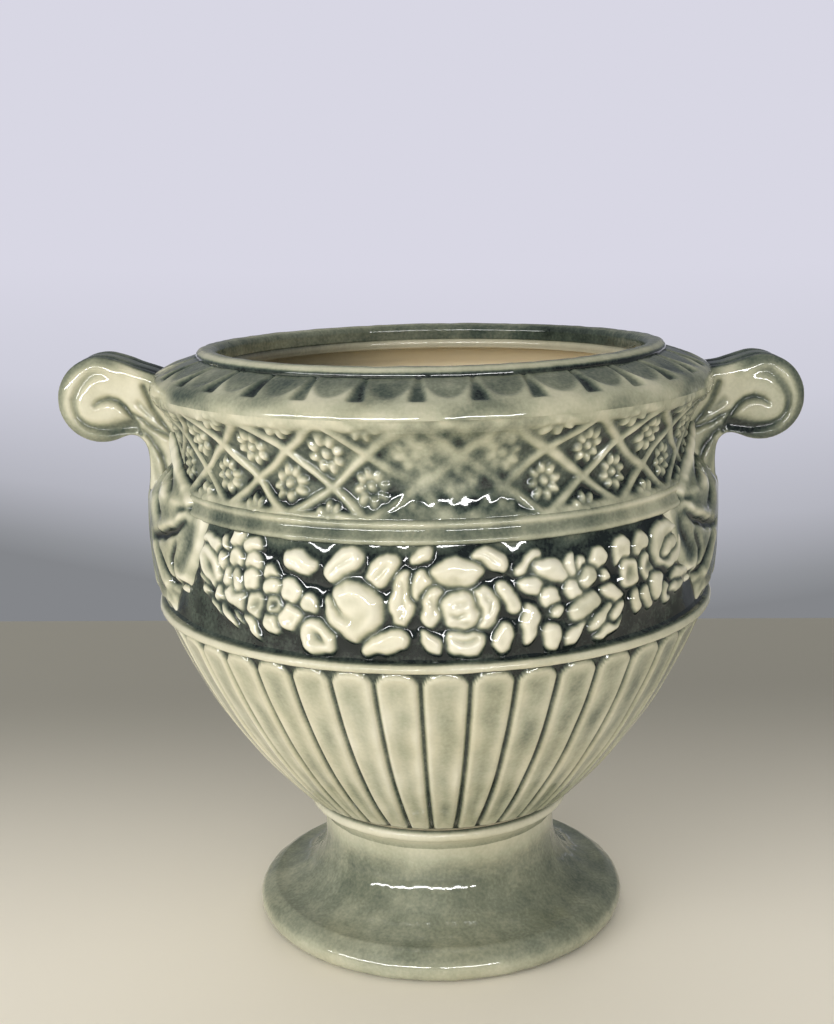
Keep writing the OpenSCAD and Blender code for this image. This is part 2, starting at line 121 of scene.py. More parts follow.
# %% [markdown]
# ## Spinning a ring
# A ring of vertices is laid on the section and spun about the axis, which is how a body of this kind
# is thrown or sledged. Spinning gives clean rows and columns, and those make the relief easy: each
# vertex knows its row in the section and its turn round the pot.

# %% Spin helper
def places(piece):
    """Where the vertices of a piece are, in millimetres."""
    co = np.zeros(len(piece.data.vertices) * 3)
    piece.data.vertices.foreach_get("co", co)
    return co.reshape(-1, 3) / MM


def place_at(piece, co):
    piece.data.vertices.foreach_set("co", (co * MM).ravel())
    piece.data.update()


def edit():
    """Opens the mesh of the piece at hand, with all of it selected."""
    bpy.ops.object.mode_set(mode="EDIT")
    bpy.ops.mesh.select_all(action="SELECT")


def spun(name, outside, inside, steps, start=0.0, sweep=360.0):
    """A closed ring, or a part of one, with the row and the step of each vertex."""
    section = np.vstack([outside, inside])
    bpy.ops.object.select_all(action="DESELECT")
    bpy.ops.mesh.primitive_circle_add(vertices=len(section), radius=MM, location=(0, 0, 0))
    piece = bpy.context.object
    piece.name = piece.data.name = name
    angle = math.radians(start)
    first = np.c_[section[:, 0] * math.sin(angle), -section[:, 0] * math.cos(angle), section[:, 1]]
    place_at(piece, first)
    edit()
    sector = max(n for n in range(1, 61) if steps % n == 0)   # a slice is spun, then repeated
    slices = steps // sector
    turn, upright = math.radians(sweep / slices), {"center": (0, 0, 0), "axis": (0, 0, 1)}
    bpy.ops.mesh.spin(steps=sector, angle=-turn, **upright)
    bpy.ops.mesh.select_all(action="SELECT")
    bpy.ops.mesh.spin(steps=slices - 1, angle=turn - math.radians(sweep), dupli=True, **upright)
    bpy.ops.mesh.select_all(action="SELECT")
    bpy.ops.mesh.remove_doubles(threshold=MERGE)
    if sweep < 360:
        bpy.ops.mesh.select_all(action="DESELECT")
        bpy.ops.mesh.select_mode(type="EDGE")
        bpy.ops.mesh.select_non_manifold(extend=False)
        bpy.ops.mesh.edge_face_add()
        bpy.ops.mesh.select_mode(type="VERT")
    bpy.ops.mesh.select_all(action="SELECT")
    bpy.ops.mesh.remove_doubles(threshold=MERGE)
    bpy.ops.mesh.normals_make_consistent(inside=False)
    bpy.ops.mesh.select_all(action="DESELECT")
    bpy.ops.mesh.select_mode(type="EDGE")
    bpy.ops.mesh.edges_select_sharp(sharpness=CREASE)
    bpy.ops.mesh.mark_sharp()                     # so that a ring's cut end does not darken its rim
    bpy.ops.mesh.select_mode(type="VERT")
    bpy.ops.object.mode_set(mode="OBJECT")
    bpy.ops.object.shade_smooth()
    co = places(piece)
    turn = (np.degrees(np.arctan2(co[:, 0], -co[:, 1])) - start + 0.5 * sweep / steps) % 360
    step = np.floor(turn / (sweep / steps)).astype(int)
    step = np.minimum(step, steps if sweep < 360 else steps - 1)
    flat = np.c_[np.hypot(co[:, 0], co[:, 1]), co[:, 2]].astype(np.float32)
    row = np.zeros(len(flat), int)
    batch = 20000                                 # compared in batches, to spare memory
    for i in range(0, len(flat), batch):
        part = flat[i:i + batch, None, :] - section[None].astype(np.float32)
        row[i:i + batch] = np.argmin((part ** 2).sum(2), axis=1)
    return piece, row, step


# %% [markdown]
# ## Glaze thickness
# Fired glaze is thin where the clay stands proud and thick where it dips. Comparing the relief with a
# blurred copy of itself says which is which, and the answer is kept on every vertex as "pool".
# A second value, "inside", marks the tan inner wall of the bowl. The first also carries painted highlights
# and shade in places, and both darken the left of the inner wall as painted shade.

# %% Blur and glaze
def blur(grid, size, axis, wrap):
    """A bell-shaped average along one axis, over a number of cells."""
    reach = int(math.ceil(2.5 * size))
    weight = np.exp(-0.5 * (np.arange(-reach, reach + 1) / size) ** 2)
    weight /= weight.sum()
    pad = [(0, 0), (0, 0)]
    pad[axis] = (reach, reach)
    wide = np.pad(grid, pad, mode="wrap" if wrap else "edge")
    out = np.zeros_like(grid)
    for k, w in enumerate(weight):
        out += w * (wide[k:k + grid.shape[0]] if axis == 0 else wide[:, k:k + grid.shape[1]])
    return out


def spread(grid, size, cell, wrap=False):
    """A blur over a size in millimetres, on cells of the given width and height."""
    return blur(blur(grid, size / cell[0], 0, wrap), size / cell[1], 1, False)


def pooled(relief, cell, fine, broad, fine_mm, broad_mm):
    """How much thicker the glaze lies in a hollow, or thinner over an edge, where it is negative."""
    near = spread(relief, fine_mm, cell) - relief
    far = spread(relief, broad_mm, cell) - relief
    return fine * near + broad * far


def note(piece, name, values):
    layer = piece.data.attributes.new(name, "FLOAT", "POINT")
    layer.data.foreach_set("value", np.asarray(values, np.float32))


def ripple(turn, height):
    """The soft unevenness of a sponged and glazed wall, which makes its highlights waver."""
    waves = [(17, 0.9, 0.4, 1.3), (23, -0.7, 2.1, 1.2), (31, 0.5, 4.0, 1.1), (41, -1.1, 1.0, 0.9),
             (57, 0.8, 5.2, 0.8), (75, 1.6, 3.3, 0.7)]
    total = 0
    for n, m, start, size in waves:
        total = total + size * np.sin(turn * n + height * m * 0.3 + start)
    return total / 2.2


def to_right(angle):
    """1 on the right-hand side and 0 on the left, with no step at the back."""
    return soft(angle, 10, 60) * soft(-angle, -170, -120)


def right_shade(co):
    """Painted shade: the right-hand side is drawn darker, as the light comes from the left."""
    return 0.14 * soft(co[:, 0], -20, 95)


def carve(name, outside, back, steps, relief, pool, inside=None, start=0.0, sweep=360.0):
    """Spins a ring, moves its outer rows out by the relief and keeps the glaze on its vertices.

    The relief may be one number. What inside says of the radius and the height marks the tan wall.
    """
    piece, row, step = spun(name, outside, back, steps, start, sweep)
    co = places(piece)
    outer = row < len(outside)
    row = np.minimum(row, len(outside) - 1)
    normal = outward(outside)[row]
    turn = np.arctan2(co[:, 0], -co[:, 1])
    relief = np.broadcast_to(relief, pool.shape)
    depth = np.where(outer, relief[step, row] + 0.05 * ripple(turn, co[:, 2]), 0)
    co += (np.c_[normal[:, 0] * np.sin(turn), -normal[:, 0] * np.cos(turn), normal[:, 1]]
           * depth[:, None])
    place_at(piece, co)
    # Painted shade: the inner wall is drawn darker towards the left, where the light from the left does not
    # reach.
    inner_shade = soft(-co[:, 0], 0, 50)                 # the inner wall darkens towards the left
    # Painted shade is added here too: the right-hand side is drawn darker.
    thick = np.where(outer, pool[step, row], 0.45 + 0.4 * inner_shade) + right_shade(co)
    note(piece, "pool", np.clip(thick, 0, 1))
    tan = inside(np.hypot(co[:, 0], co[:, 1]), co[:, 2]) * (1 - 0.65 * inner_shade) if inside else 0
    note(piece, "inside", np.where(outer, 0, tan))
    print(piece.name, len(piece.data.polygons), "faces")
    return piece


def plan(outside, steps, start=0.0, sweep=360.0):
    """The angle and the height of every cell of a spun piece, in degrees and millimetres."""
    count = steps if sweep == 360 else steps + 1
    angle = start + np.arange(count) * sweep / steps
    angle = (angle + 180) % 360 - 180 if sweep == 360 else angle
    return np.meshgrid(angle, outside[:, 1], indexing="ij")


def cell_of(outside, steps, sweep=360.0):
    run = np.hypot(*np.diff(outside, axis=0).T).mean()
    return (math.radians(sweep / steps) * outside[:, 0].mean(), run)


def panel(outside, steps, middle, span):
    """Where a panel starts, the angle from its middle, the height, and the size of its cells."""
    start = middle - span / 2
    angle, height = plan(outside, steps, start, span)
    return start, angle - middle, height, cell_of(outside, steps, span)


def wave(angle, height, seed):
    """A slow wander of a millimetre or so, as hand-finished ware has, from -1 to 1."""
    draw = np.random.default_rng(seed)
    total = 0
    for _ in range(7):
        n, k, a, b = draw.integers(1, 9), draw.uniform(0.02, 0.2), *draw.uniform(0, 6.28, 2)
        total = total + np.sin(np.radians(angle) * n + a) * np.sin(height * k + b)
    return total / 3.5


# %% [markdown]
# ## Foot
# The foot is a hollow flare on a rolled edge. Nothing is carved on it, so it only wanders slightly,
# with a faint mould seam in front. The glaze is even, but thinner on the roll and up at the waist.

# %% Foot
out = walk(0.6, line((45.5, 0), (51.0, 0)), arc(51.0, 4.0, 4.0, -90, 62),
           bow((52.9, 7.5), (50.3, 9.1), 12), arc(50.5, 25, 16, 268, 180),
           line((34.5, 25), (34.5, Z_WAIST)))
back = walk(1.5, line((29, Z_WAIST), (29, 25)), arc(50.5, 25, 21.5, 180, 256.5),
            line((45.5, 4), (45.5, 0.4)))
angle, height = plan(out, PLAIN_STEPS)
seam = bell(angle - 2, 1.2)
relief = 0.2 * wave(angle, height, 3) * soft(height, 2, 12) + 0.15 * seam
glaze = 0.57 + 0.07 * wave(angle, height, 5) - 0.3 * soft(height, 22, 31)
glaze -= 0.16 * (1 - soft(height, 4.0, 7.4)) * soft(height, 0.2, 2.4)
glaze -= 0.04 * soft(-height, -12, -8)
foot = carve("foot_glazed", out, back, PLAIN_STEPS, relief, glaze)

# %% [markdown]
# ## Waist ring
# A cream bead hides the join between foot and bowl. It runs down into the neck of the foot without an
# edge, because the joint was sponged smooth before the glaze went on.

# %% Waist ring
out = walk(0.35, bow((34.6, Z_WAIST), (36.9, 34.4), -9), arc(36.9, 36.2, 1.8, -70, 90),
           line((36.9, Z_BOWL), (36.6, Z_BOWL), 3))
back = walk(2, line((29, Z_BOWL), (29, Z_WAIST)))
angle, height = plan(out, PLAIN_STEPS)
glaze = 0.45 - 0.32 * soft(height, Z_WAIST, 35) + 0.6 * soft(height, 37.0, 38)
glaze += 0.05 * wave(angle, height, 6)
waist = carve("waist_ring_glazed", out, back, PLAIN_STEPS, 0, glaze)

# %% [markdown]
# ## Fluted bowl
# Forty-two flutes run down the bowl. Each is a shallow trough with a rounded top and crisp edges, and
# a narrow groove parts it from the next. They were cut by hand and are a little uneven, so the
# grooves at the front are listed one by one.

# %% Fluted bowl
FLUTE_STEPS = FLUTES * 22
# Where the grooves at the front stand, in degrees; the others share the rest evenly
GROOVES = [-46.6, -37.9, -29.5, -21.1, -12.5, -3.7, 5.7, 14.4, 23.0, 31.7, 40.7, 49.6]


def flutes(angle, height):
    rest = np.linspace(GROOVES[-1], GROOVES[0] + 360, FLUTES - len(GROOVES) + 2)
    marks = np.r_[GROOVES, rest[1:]]
    count = np.interp((angle - GROOVES[0]) % 360 + GROOVES[0], marks, np.arange(FLUTES + 1))
    across = ((count % 1) - 0.5) * 2                              # -1 and 1 at the grooves
    half = math.pi / FLUTES * np.interp(height, [38, 60, 80, 97], [39, 60, 71, 78])
    edge = half * (1 - np.abs(across))                            # mm from the middle of the groove
    crown = Z_LOW + 0.5 - 1.1 * half * (1 - np.sqrt(1 - np.clip(np.abs(across), 0, 1) ** 2.6))
    inside = np.minimum(edge - 0.25, (crown - height) * 0.9)
    inside = np.minimum(inside, (height - 38.4) * 0.45)
    rise = 1.5 * (1 - np.clip(1 - inside / 1.7, 0, 1) ** 2.4)
    trough = 0.3 * (1 - across ** 2) * soft(inside, 0.8, 2.8)
    return rise - trough - 1.25, inside


out = walk(0.85, arc(*BOWL_CENTRE, BOWL_R, -46.57, -20.37, 200))
back = walk(8, line((72.2, Z_LOW - 0.3), (72.2, Z_LOW - 0.6), 2),
            arc(*BOWL_CENTRE, 150.5, -21.2, -45.0, 80),
            line((37.5, 44), (0, 44)), line((0, 44), (0, 38)), line((0, 38), (37.5, 38)))
angle, height = plan(out, FLUTE_STEPS)
relief, edge = flutes(angle, height)
# Painted shade: the flutes on the right-hand side are drawn darker, away from the light on the left.
glaze = 0.13 + 0.26 * soft(edge, 0.6, 4.8) + 0.78 * soft(-edge, -0.75, 0.2) + 0.09 * to_right(angle)
glaze += 0.12 * soft(-height, -62, -44) + 0.5 * soft(-height, -40.4, -38.6)
glaze += 0.05 * wave(angle, height, 9)
glaze += 0.1 * wave(angle * 6, height * 3, 10) * soft(edge, 0.6, 2.0)
bowl = carve("fluted_bowl_glazed", out, back, FLUTE_STEPS, relief, glaze,
             lambda r, z: r < np.interp(z, [44, Z_LOW], [37.9, 72.3]))

# %% [markdown]
# ## Mouldings, frieze ground and lip
# These are plain rings. The frieze ground is the dark band that the garland grows from, and it is
# seen only between the leaves at the sides, because the garland panels carry their own ground.

# %% Lower moulding
out = walk(0.3, line((77.0, Z_LOW), (78.2, 97.9)), arc(78.9, 99.1, 1.2, -90, 90),
           line((78.0, 100.5), (77.1, Z_FRIEZE)))
back = walk(2, line((71.7, Z_FRIEZE), (72.2, Z_LOW)))
angle, height = plan(out, MOULDING_STEPS)
glaze = 0.16 + 0.75 * soft(height, 99.9, 100.6) + 0.7 * soft(-height, -98.3, -97.5)
glaze += 0.1 * wave(angle * 2, height, 11)
low_ring = carve("lower_moulding_glazed", out, back, MOULDING_STEPS, 0.15 * wave(angle, height, 12),
                 glaze, lambda r, z: r < 73)

# %% Frieze ground
out = walk(1.0, line((77.2, Z_FRIEZE), (73.8, Z_TOP)))
back = walk(2, line((68.3, Z_TOP), (71.7, Z_FRIEZE)))
angle, height = plan(out, HIDDEN_STEPS)
band = carve("frieze_ground", out, back, HIDDEN_STEPS, 0, 0.92 + 0 * height, lambda r, z: r < 72)

# %% Upper moulding
BEADS = 130.2, 134.2                              # heights of its two beads
out = walk(0.35, line((73.2, Z_TOP), (74.2, 129.1), 6), arc(74.3, BEADS[0], 1.1, -90, 60),
           line((74.7, 131.4), (74.2, 133.2)), arc(73.4, 134.1, 1.15, -40, 90),
           line((73.3, 135.3), (72.9, 135.3), 3))
back = walk(2, line((68.9, Z_COLLAR), (68.3, Z_TOP)))
angle, height = plan(out, MOULDING_STEPS)
glaze = 0.66 - 0.3 * to_right(angle) + 0.4 * soft(-height, -129.7, -129.1)
for bead, thin in zip(BEADS, (0.2, 0.32)):
    glaze -= thin * bell(height - bead, 0.8)
glaze += 0.1 * wave(angle * 2, height, 13) + 0.06 * wave(angle * 7, height, 18)
top_ring = carve("upper_moulding_glazed", out, back, MOULDING_STEPS, 0.2 * wave(angle, height, 14),
                 glaze, lambda r, z: r < 70)


# %% Lip
def settle(piece):
    """Lets the back of the mouth sink by a millimetre and a half, as it did in the kiln."""
    co = places(piece)
    co[:, 2] -= 1.5 * soft(co[:, 1], -35, 60) * soft(co[:, 2], 161, 169)
    place_at(piece, co)


turn = np.radians(np.linspace(0, 180, 60))
roll = np.c_[63.4 + 2.9 * np.cos(turn), Z_CREST - 2 + 2.0 * np.sin(turn)]
out = walk(0.3, line((66.3, 168.8), (66.3, 169.5), 4), roll, line((60.5, 169.5), (60.5, 166.5), 4))
back = walk(1.5, line((60.7, 166.3), (66.2, 168.6)))
angle, height = plan(out, LIP_STEPS)
across = np.broadcast_to(out[:, 0], height.shape)
# Painted highlight: a paler line along the front of the roll, where the glaze is also thin over the crest.
# Painted shadow: the outer side below it is darker.
glaze = 0.5 - 0.24 * bell(across - 65.2, 0.8) + 0.45 * soft(across, 65.9, 66.3)
glaze += 0.2 * soft(-across, -62.4, -60.8) + 0.1 * wave(angle, height, 15)
lip = carve("mouth_lip_glazed", out, back, LIP_STEPS, 0.1 * wave(angle, height * 3, 16), glaze)
settle(lip)

# %% [markdown]
# ## Petals of the shoulder
# Thirty-two tongues lie round the shoulder. Each is a sunk, dark panel with a raised cream rim, and a
# wedge-shaped notch that widens downwards parts it from the next.

# %% Petal shoulder
PETAL_STEPS = PETALS * 34
out = walk(0.36, arc(74.7, Z_SHOULDER, 5, 0, 60, 30), bow((77.2, 164.83), (66.3, 169.6), 42))


def petals(angle, up):
    """The depth of the notches and of the tongues; up is the way down from the lip, in mm."""
    # 0 in the middle of a notch, 1 in the middle of a tongue
    across = np.abs((((angle + 3.1) * PETALS / 360 + 0.5) % 1 - 0.5) * 2)
    pitch = 2 * math.pi * np.interp(up, [0, 12], [67, 77]) / PETALS
    side, middle = across * pitch / 2, (1 - across) * pitch / 2
    notch = np.minimum(np.interp(up, [0, 11.5], [0.7, 2.2]) - side, (11.6 - up) * 0.8)
    half = np.interp(up, [0, 8], [6.1, 5.2])
    tongue = (1 - np.hypot(middle / half, np.clip((up - 4.0) / 6.8, 0, None))) * half
    return soft(notch, -0.45, 0.7), soft(tongue, -0.5, 1.1)


back = walk(1.5, line((61.4, Z_LIP), (60.9, 165.6)), line((60.5, 165.2), (60.5, 163.2)),
            line((60.8, 162.6), (74.2, Z_SHOULDER)))
angle, height = plan(out, PETAL_STEPS)
run = np.r_[0, np.cumsum(np.hypot(*np.diff(out, axis=0).T))]
up = np.broadcast_to(run[-1] - run, angle.shape)
notch, tongue = petals(angle, up)
cell = cell_of(out, PETAL_STEPS)
relief = spread(-0.9 * notch - 0.45 * tongue, 0.35, cell, True)
relief += 0.12 * wave(angle * 2, height * 3, 22)
glaze = 0.34 + 0.16 * notch * soft(up, 0, 8) + 0.36 * notch + 0.3 * tongue * (1 - notch)
# Painted shadow: the band just under the lip is drawn darker.
glaze = spread(glaze, 0.5, cell, True) + 0.3 * soft(-up, -0.9, 0)
cloud = wave(angle * 2, height * 2, 21) + wave(angle * 6, height * 4, 23)
glaze += 0.22 * cloud * (1 - 0.5 * tongue) - 0.04 * soft(-height, -163.5, -161)
glaze += 0.24 * bell(angle + 46, 30) * soft(-height, -167, -163)
shoulder = carve("petal_shoulder_glazed", out, back, PETAL_STEPS, relief, glaze,
                 lambda r, z: (r < 74.5) * (z < 165.8) * (1 - 0.6 * soft(z, 161.5, 163.5)))
settle(shoulder)

# %% [markdown]
# ## Collar and trellis
# The collar is a hollow ring. A trellis of slanting straps lies in it, with a floret in every
# diamond. The pattern is cut as two panels, front and back, on the collar's own curve, so that the
# mesh can be fine where the florets are.

# %% Collar ring
def collar_line(step, sink=0.0):
    return walk(step, arc(*COLLAR_CENTRE, COLLAR_R + sink, 180 + 25.7, 180 - 45.4, 120),
                arc(74.7, Z_SHOULDER, 5 - sink, -44.5, 0, 30))


out = collar_line(0.8, 1.7)
back = walk(2, line((74.2, Z_SHOULDER), (73.4, 157)), arc(*COLLAR_CENTRE, 25.1, 148, 200, 60),
            line((68.6, Z_COLLAR + 0.6), (68.9, Z_COLLAR)))
angle, height = plan(out, HIDDEN_STEPS)
collar = carve("collar_ring", out, back, HIDDEN_STEPS, 0, 0.8 + 0 * height,
               lambda r, z: r < 74.6 - 6 * soft(z, 130, 140) + 6 * soft(z, 146, 158))

# %% Trellis panels
DIAMOND_W, DIAMOND_H = 8.625, 8.0        # half width in degrees and half height in mm
TRELLIS_STEPS, TRELLIS_SPAN = 640, 166.0


def florets(p, q):
    """Petals and a bead in a diamond whose middle is at p = q = 0, in mm."""
    turn = np.arctan2(q, p)
    far = np.hypot(p, q)
    petal = np.abs(((turn / (2 * math.pi) * 8 + 0.25) % 1) - 0.5) * 2      # 0 on a petal, 1 between
    side = far * math.pi / 8 * petal
    body, bead = np.hypot((far - 3.25) / 1.6, side / 1.15), far / 1.35
    body, bead = (top * np.clip(1 - q ** 2.4, 0, 1) ** 0.7 for top, q in ((1.3, body), (1.4, bead)))
    return np.maximum(body, bead)


def trellis(angle, height):
    p = (angle + 4.0) / DIAMOND_W
    q = (height - 151.0) / DIAMOND_H
    wide, tall = DIAMOND_W * 1.28, DIAMOND_H
    slant = wide * tall / math.hypot(wide, tall)
    one, two = np.abs((p + q) % 2 - 1) * slant, np.abs((p - q) % 2 - 1) * slant
    strap = 1.0 * np.clip(1 - (np.minimum(one, two) / 1.25) ** 2, 0, 1) ** 0.7
    row, col = np.round((p + q) / 2), np.round((p - q) / 2)
    flower = florets((p - (row + col)) * wide, (q - (row - col)) * tall)
    edges = np.maximum(soft(-height, -137.4, -135.8), soft(height, 155.8, 158.6))
    return np.maximum(np.maximum(strap, flower), edges)


def trellis_panel(name, middle, worn):
    out = collar_line(0.34, 0.0)
    back = collar_line(3.0, 2.2)[::-1]
    start, local, height, cell = panel(out, TRELLIS_STEPS, middle, TRELLIS_SPAN)
    sharp = 1 - worn * np.exp(-np.abs((local - 3) / 16) ** 4)      # the mould is worn in the middle
    shift = 0.9 * wave(local * 3, height * 2, 33)
    lift = 0.5 * wave(local * 4, height * 2, 34)
    crisp = spread(trellis(local + shift, height + lift), 0.28, cell)
    relief = crisp * sharp + 0.3 * spread(crisp, 4.0, cell) * (1 - sharp)
    patch = wave(local * 5, height * 4, 31) + 0.8 * wave(local * 13, height * 9, 35)
    patch = 0.5 + 0.5 * np.clip(patch, -1, 1)
    ground = soft(0.7 - crisp, 0.0, 0.6)
    glaze = 0.28 + pooled(crisp, cell, 0.42, 0.16, 0.6, 2.2) + ground * (0.34 + 0.24 * patch)
    glaze += 0.12 * soft(-height, -148, -137) + 0.16 * soft(np.abs(local), 48, 72)
    faded = 0.32 + 0.42 * patch + 0.22 * soft(-height, -151, -140)
    faded += 0.16 * (ground - 0.5) * (0.4 + patch)
    glaze = glaze * sharp + (1 - sharp) * faded
    glaze = spread(glaze, 0.4, cell) + 0.12 * wave(local * 9, height * 6, 32)
    glaze += 0.1 * soft(height, 152, 157) * (0.5 - ground) - 0.06 * soft(height, 157.5, 160)
    relief = relief - 1.0 - 0.4 * soft(-height, -135.7, -134.9)
    return carve(name, out, back, TRELLIS_STEPS, relief, glaze, None, start, TRELLIS_SPAN)


trellis_front = trellis_panel("trellis_front", 0.0, 0.96)
trellis_back = trellis_panel("trellis_back", 180.0, 0.4)

# %% [markdown]
# ## Garland
# The garland is a crowd of petals and leaves, laid one over the other as they were pressed in the
# mould. One function lays a petal: it is long or round, flat or bent, domed or dished, and it presses
# a fine groove round itself into what lies beneath. The list below lays them in order.

# %% Lines in the relief
def to_line(points, knots):
    """How far each point is from a line through the knots, and how far along it is, from 0 to 1."""
    best = np.full(len(points), 1e9)
    along = np.zeros(len(points))
    knots = np.array(knots, float)
    for k, (a, b) in enumerate(zip(knots[:-1], knots[1:])):
        edge = b - a
        t = np.clip(((points - a) @ edge) / max(edge @ edge, 1e-9), 0, 1)
        far = np.hypot(*(points - a - t[:, None] * edge).T)
        near = far < best
        best[near], along[near] = far[near], (k + t[near]) / (len(knots) - 1)
    return best, along


def within(points, knots):
    """How far each point lies inside the closed outline through the knots; negative outside."""
    far, _ = to_line(points, np.vstack([knots, knots[:1]]))
    odd = np.zeros(len(points), bool)
    for a, b in zip(knots, np.roll(knots, -1, axis=0)):
        between = (a[1] > points[:, 1]) != (b[1] > points[:, 1])
        slope = (b[0] - a[0]) / (b[1] - a[1] + 1e-9)
        odd ^= between & (points[:, 0] < a[0] + (points[:, 1] - a[1]) * slope)
    return np.where(odd, far, -far)


def rounded(knots):
    """The closed outline with its corners cut back twice."""
    for _ in range(2):
        after = np.roll(knots, -1, axis=0)
        cuts = [0.75 * knots + 0.25 * after, 0.25 * knots + 0.75 * after]
        knots = np.stack(cuts, axis=1).reshape(-1, 2)
    return knots


def cut(work, knots, width, depth):
    """A groove along knots of angle and height; a negative depth raises a rib."""
    knots = [(math.radians(a) * MEAN_R, z) for a, z in knots]
    across = [u for u, _ in knots]
    near = (work.u > min(across) - 4 * width) & (work.u < max(across) + 4 * width)
    far, along = to_line(np.c_[work.u[near], work.v[near]], knots)
    ends = np.sin(np.pi * np.clip(along, 0.04, 0.96)) ** 0.4
    work.h[near] -= depth * bell(far, width) * ends


# %% Laying petals
class Relief:
    def __init__(self, angle, height, pull=1.0):
        u, v = np.radians(angle) * MEAN_R, height
        # No outline is quite regular: the sheet on which the petals are laid is pulled about a little
        slow, fast = 0.26 * pull, 0.07 * pull
        self.u = u + slow * np.sin(v * 1.05 + 2.0 * np.sin(u * 0.31)) + fast * np.sin(v * 2.1 - u * 1.3)
        self.v = v + slow * np.sin(u * 0.95 + 2.0 * np.sin(v * 0.37)) + fast * np.sin(u * 2.3 + v * 1.1)
        self.h = np.zeros_like(height)
        self.tone = np.zeros_like(height)

    def lay(self, angle, z, long, wide, turn, top, bend=0, point=0, dish=0, vein=0):
        """One petal: its middle, length, width and turn, then its height and its shape."""
        long, wide, point = long * 1.16, wide * 1.34, point * 0.3
        du, dv = self.u - math.radians(angle) * MEAN_R, self.v - z
        c, s = math.cos(math.radians(turn)), math.sin(math.radians(turn))
        reach = long * 0.75 + 2.5
        near = (np.abs(du) < reach) & (np.abs(dv) < reach)
        a, b = (du * c + dv * s)[near], (-du * s + dv * c)[near]
        if bend:
            r = 1 / bend
            far = np.hypot(a, b + r) * np.sign(r)
            a, b = r * np.arctan2(a * np.sign(r), (b + r) * np.sign(r)), far - r
        a, b = a / (long / 2), b / (wide / 2)
        q = (1 - point) * (np.abs(a) ** 2.5 + np.abs(b) ** 2.5) ** 0.4 + point * (np.abs(b) + a ** 2)
        out = (q - 1) * wide / 2
        dome = top * np.clip(1 - np.clip(q, 0, 1) ** 3.0, 0, 1) ** 0.7
        dome = dome * (1 - dish * np.clip(1 - (q / 0.72) ** 2, 0, 1))
        dome = dome - vein * bell(b, 0.16) * np.clip(1 - q, 0, 1)
        self.press(near, q < 1, out, dome, 0.75, 0.14 * math.sin(angle * 12.9 + z * 7.7))

    def press(self, near, inside, out, dome, groove, tone):
        """Lays a dome on what is there and presses a groove into what lies round it."""
        under = self.h[near] * np.where(inside, 1, 1 - groove * bell(out, 0.55))
        self.h[near] = np.where(inside, np.maximum(dome, under * 0.3), under)
        self.tone[near] = np.where(inside, tone, self.tone[near])

    def shape(self, knots, top, edge, dish=0):
        """A form drawn by the knots of its outline, each an angle and a height."""
        knots = rounded(np.array([(math.radians(a) * MEAN_R, z) for a, z in knots]))
        low, high = knots.min(axis=0) - 2, knots.max(axis=0) + 2
        near = (self.u > low[0]) & (self.u < high[0]) & (self.v > low[1]) & (self.v < high[1])
        far = within(np.c_[self.u[near], self.v[near]], knots) + 0.75
        reach = far.max()
        dome = top * (1 - np.clip(1 - far / (1.35 * edge), 0, 1) ** 2)
        self.press(near, far > 0, -far, dome * (1 - dish * soft(far, 0.3 * reach, reach)), 0.9, 0)


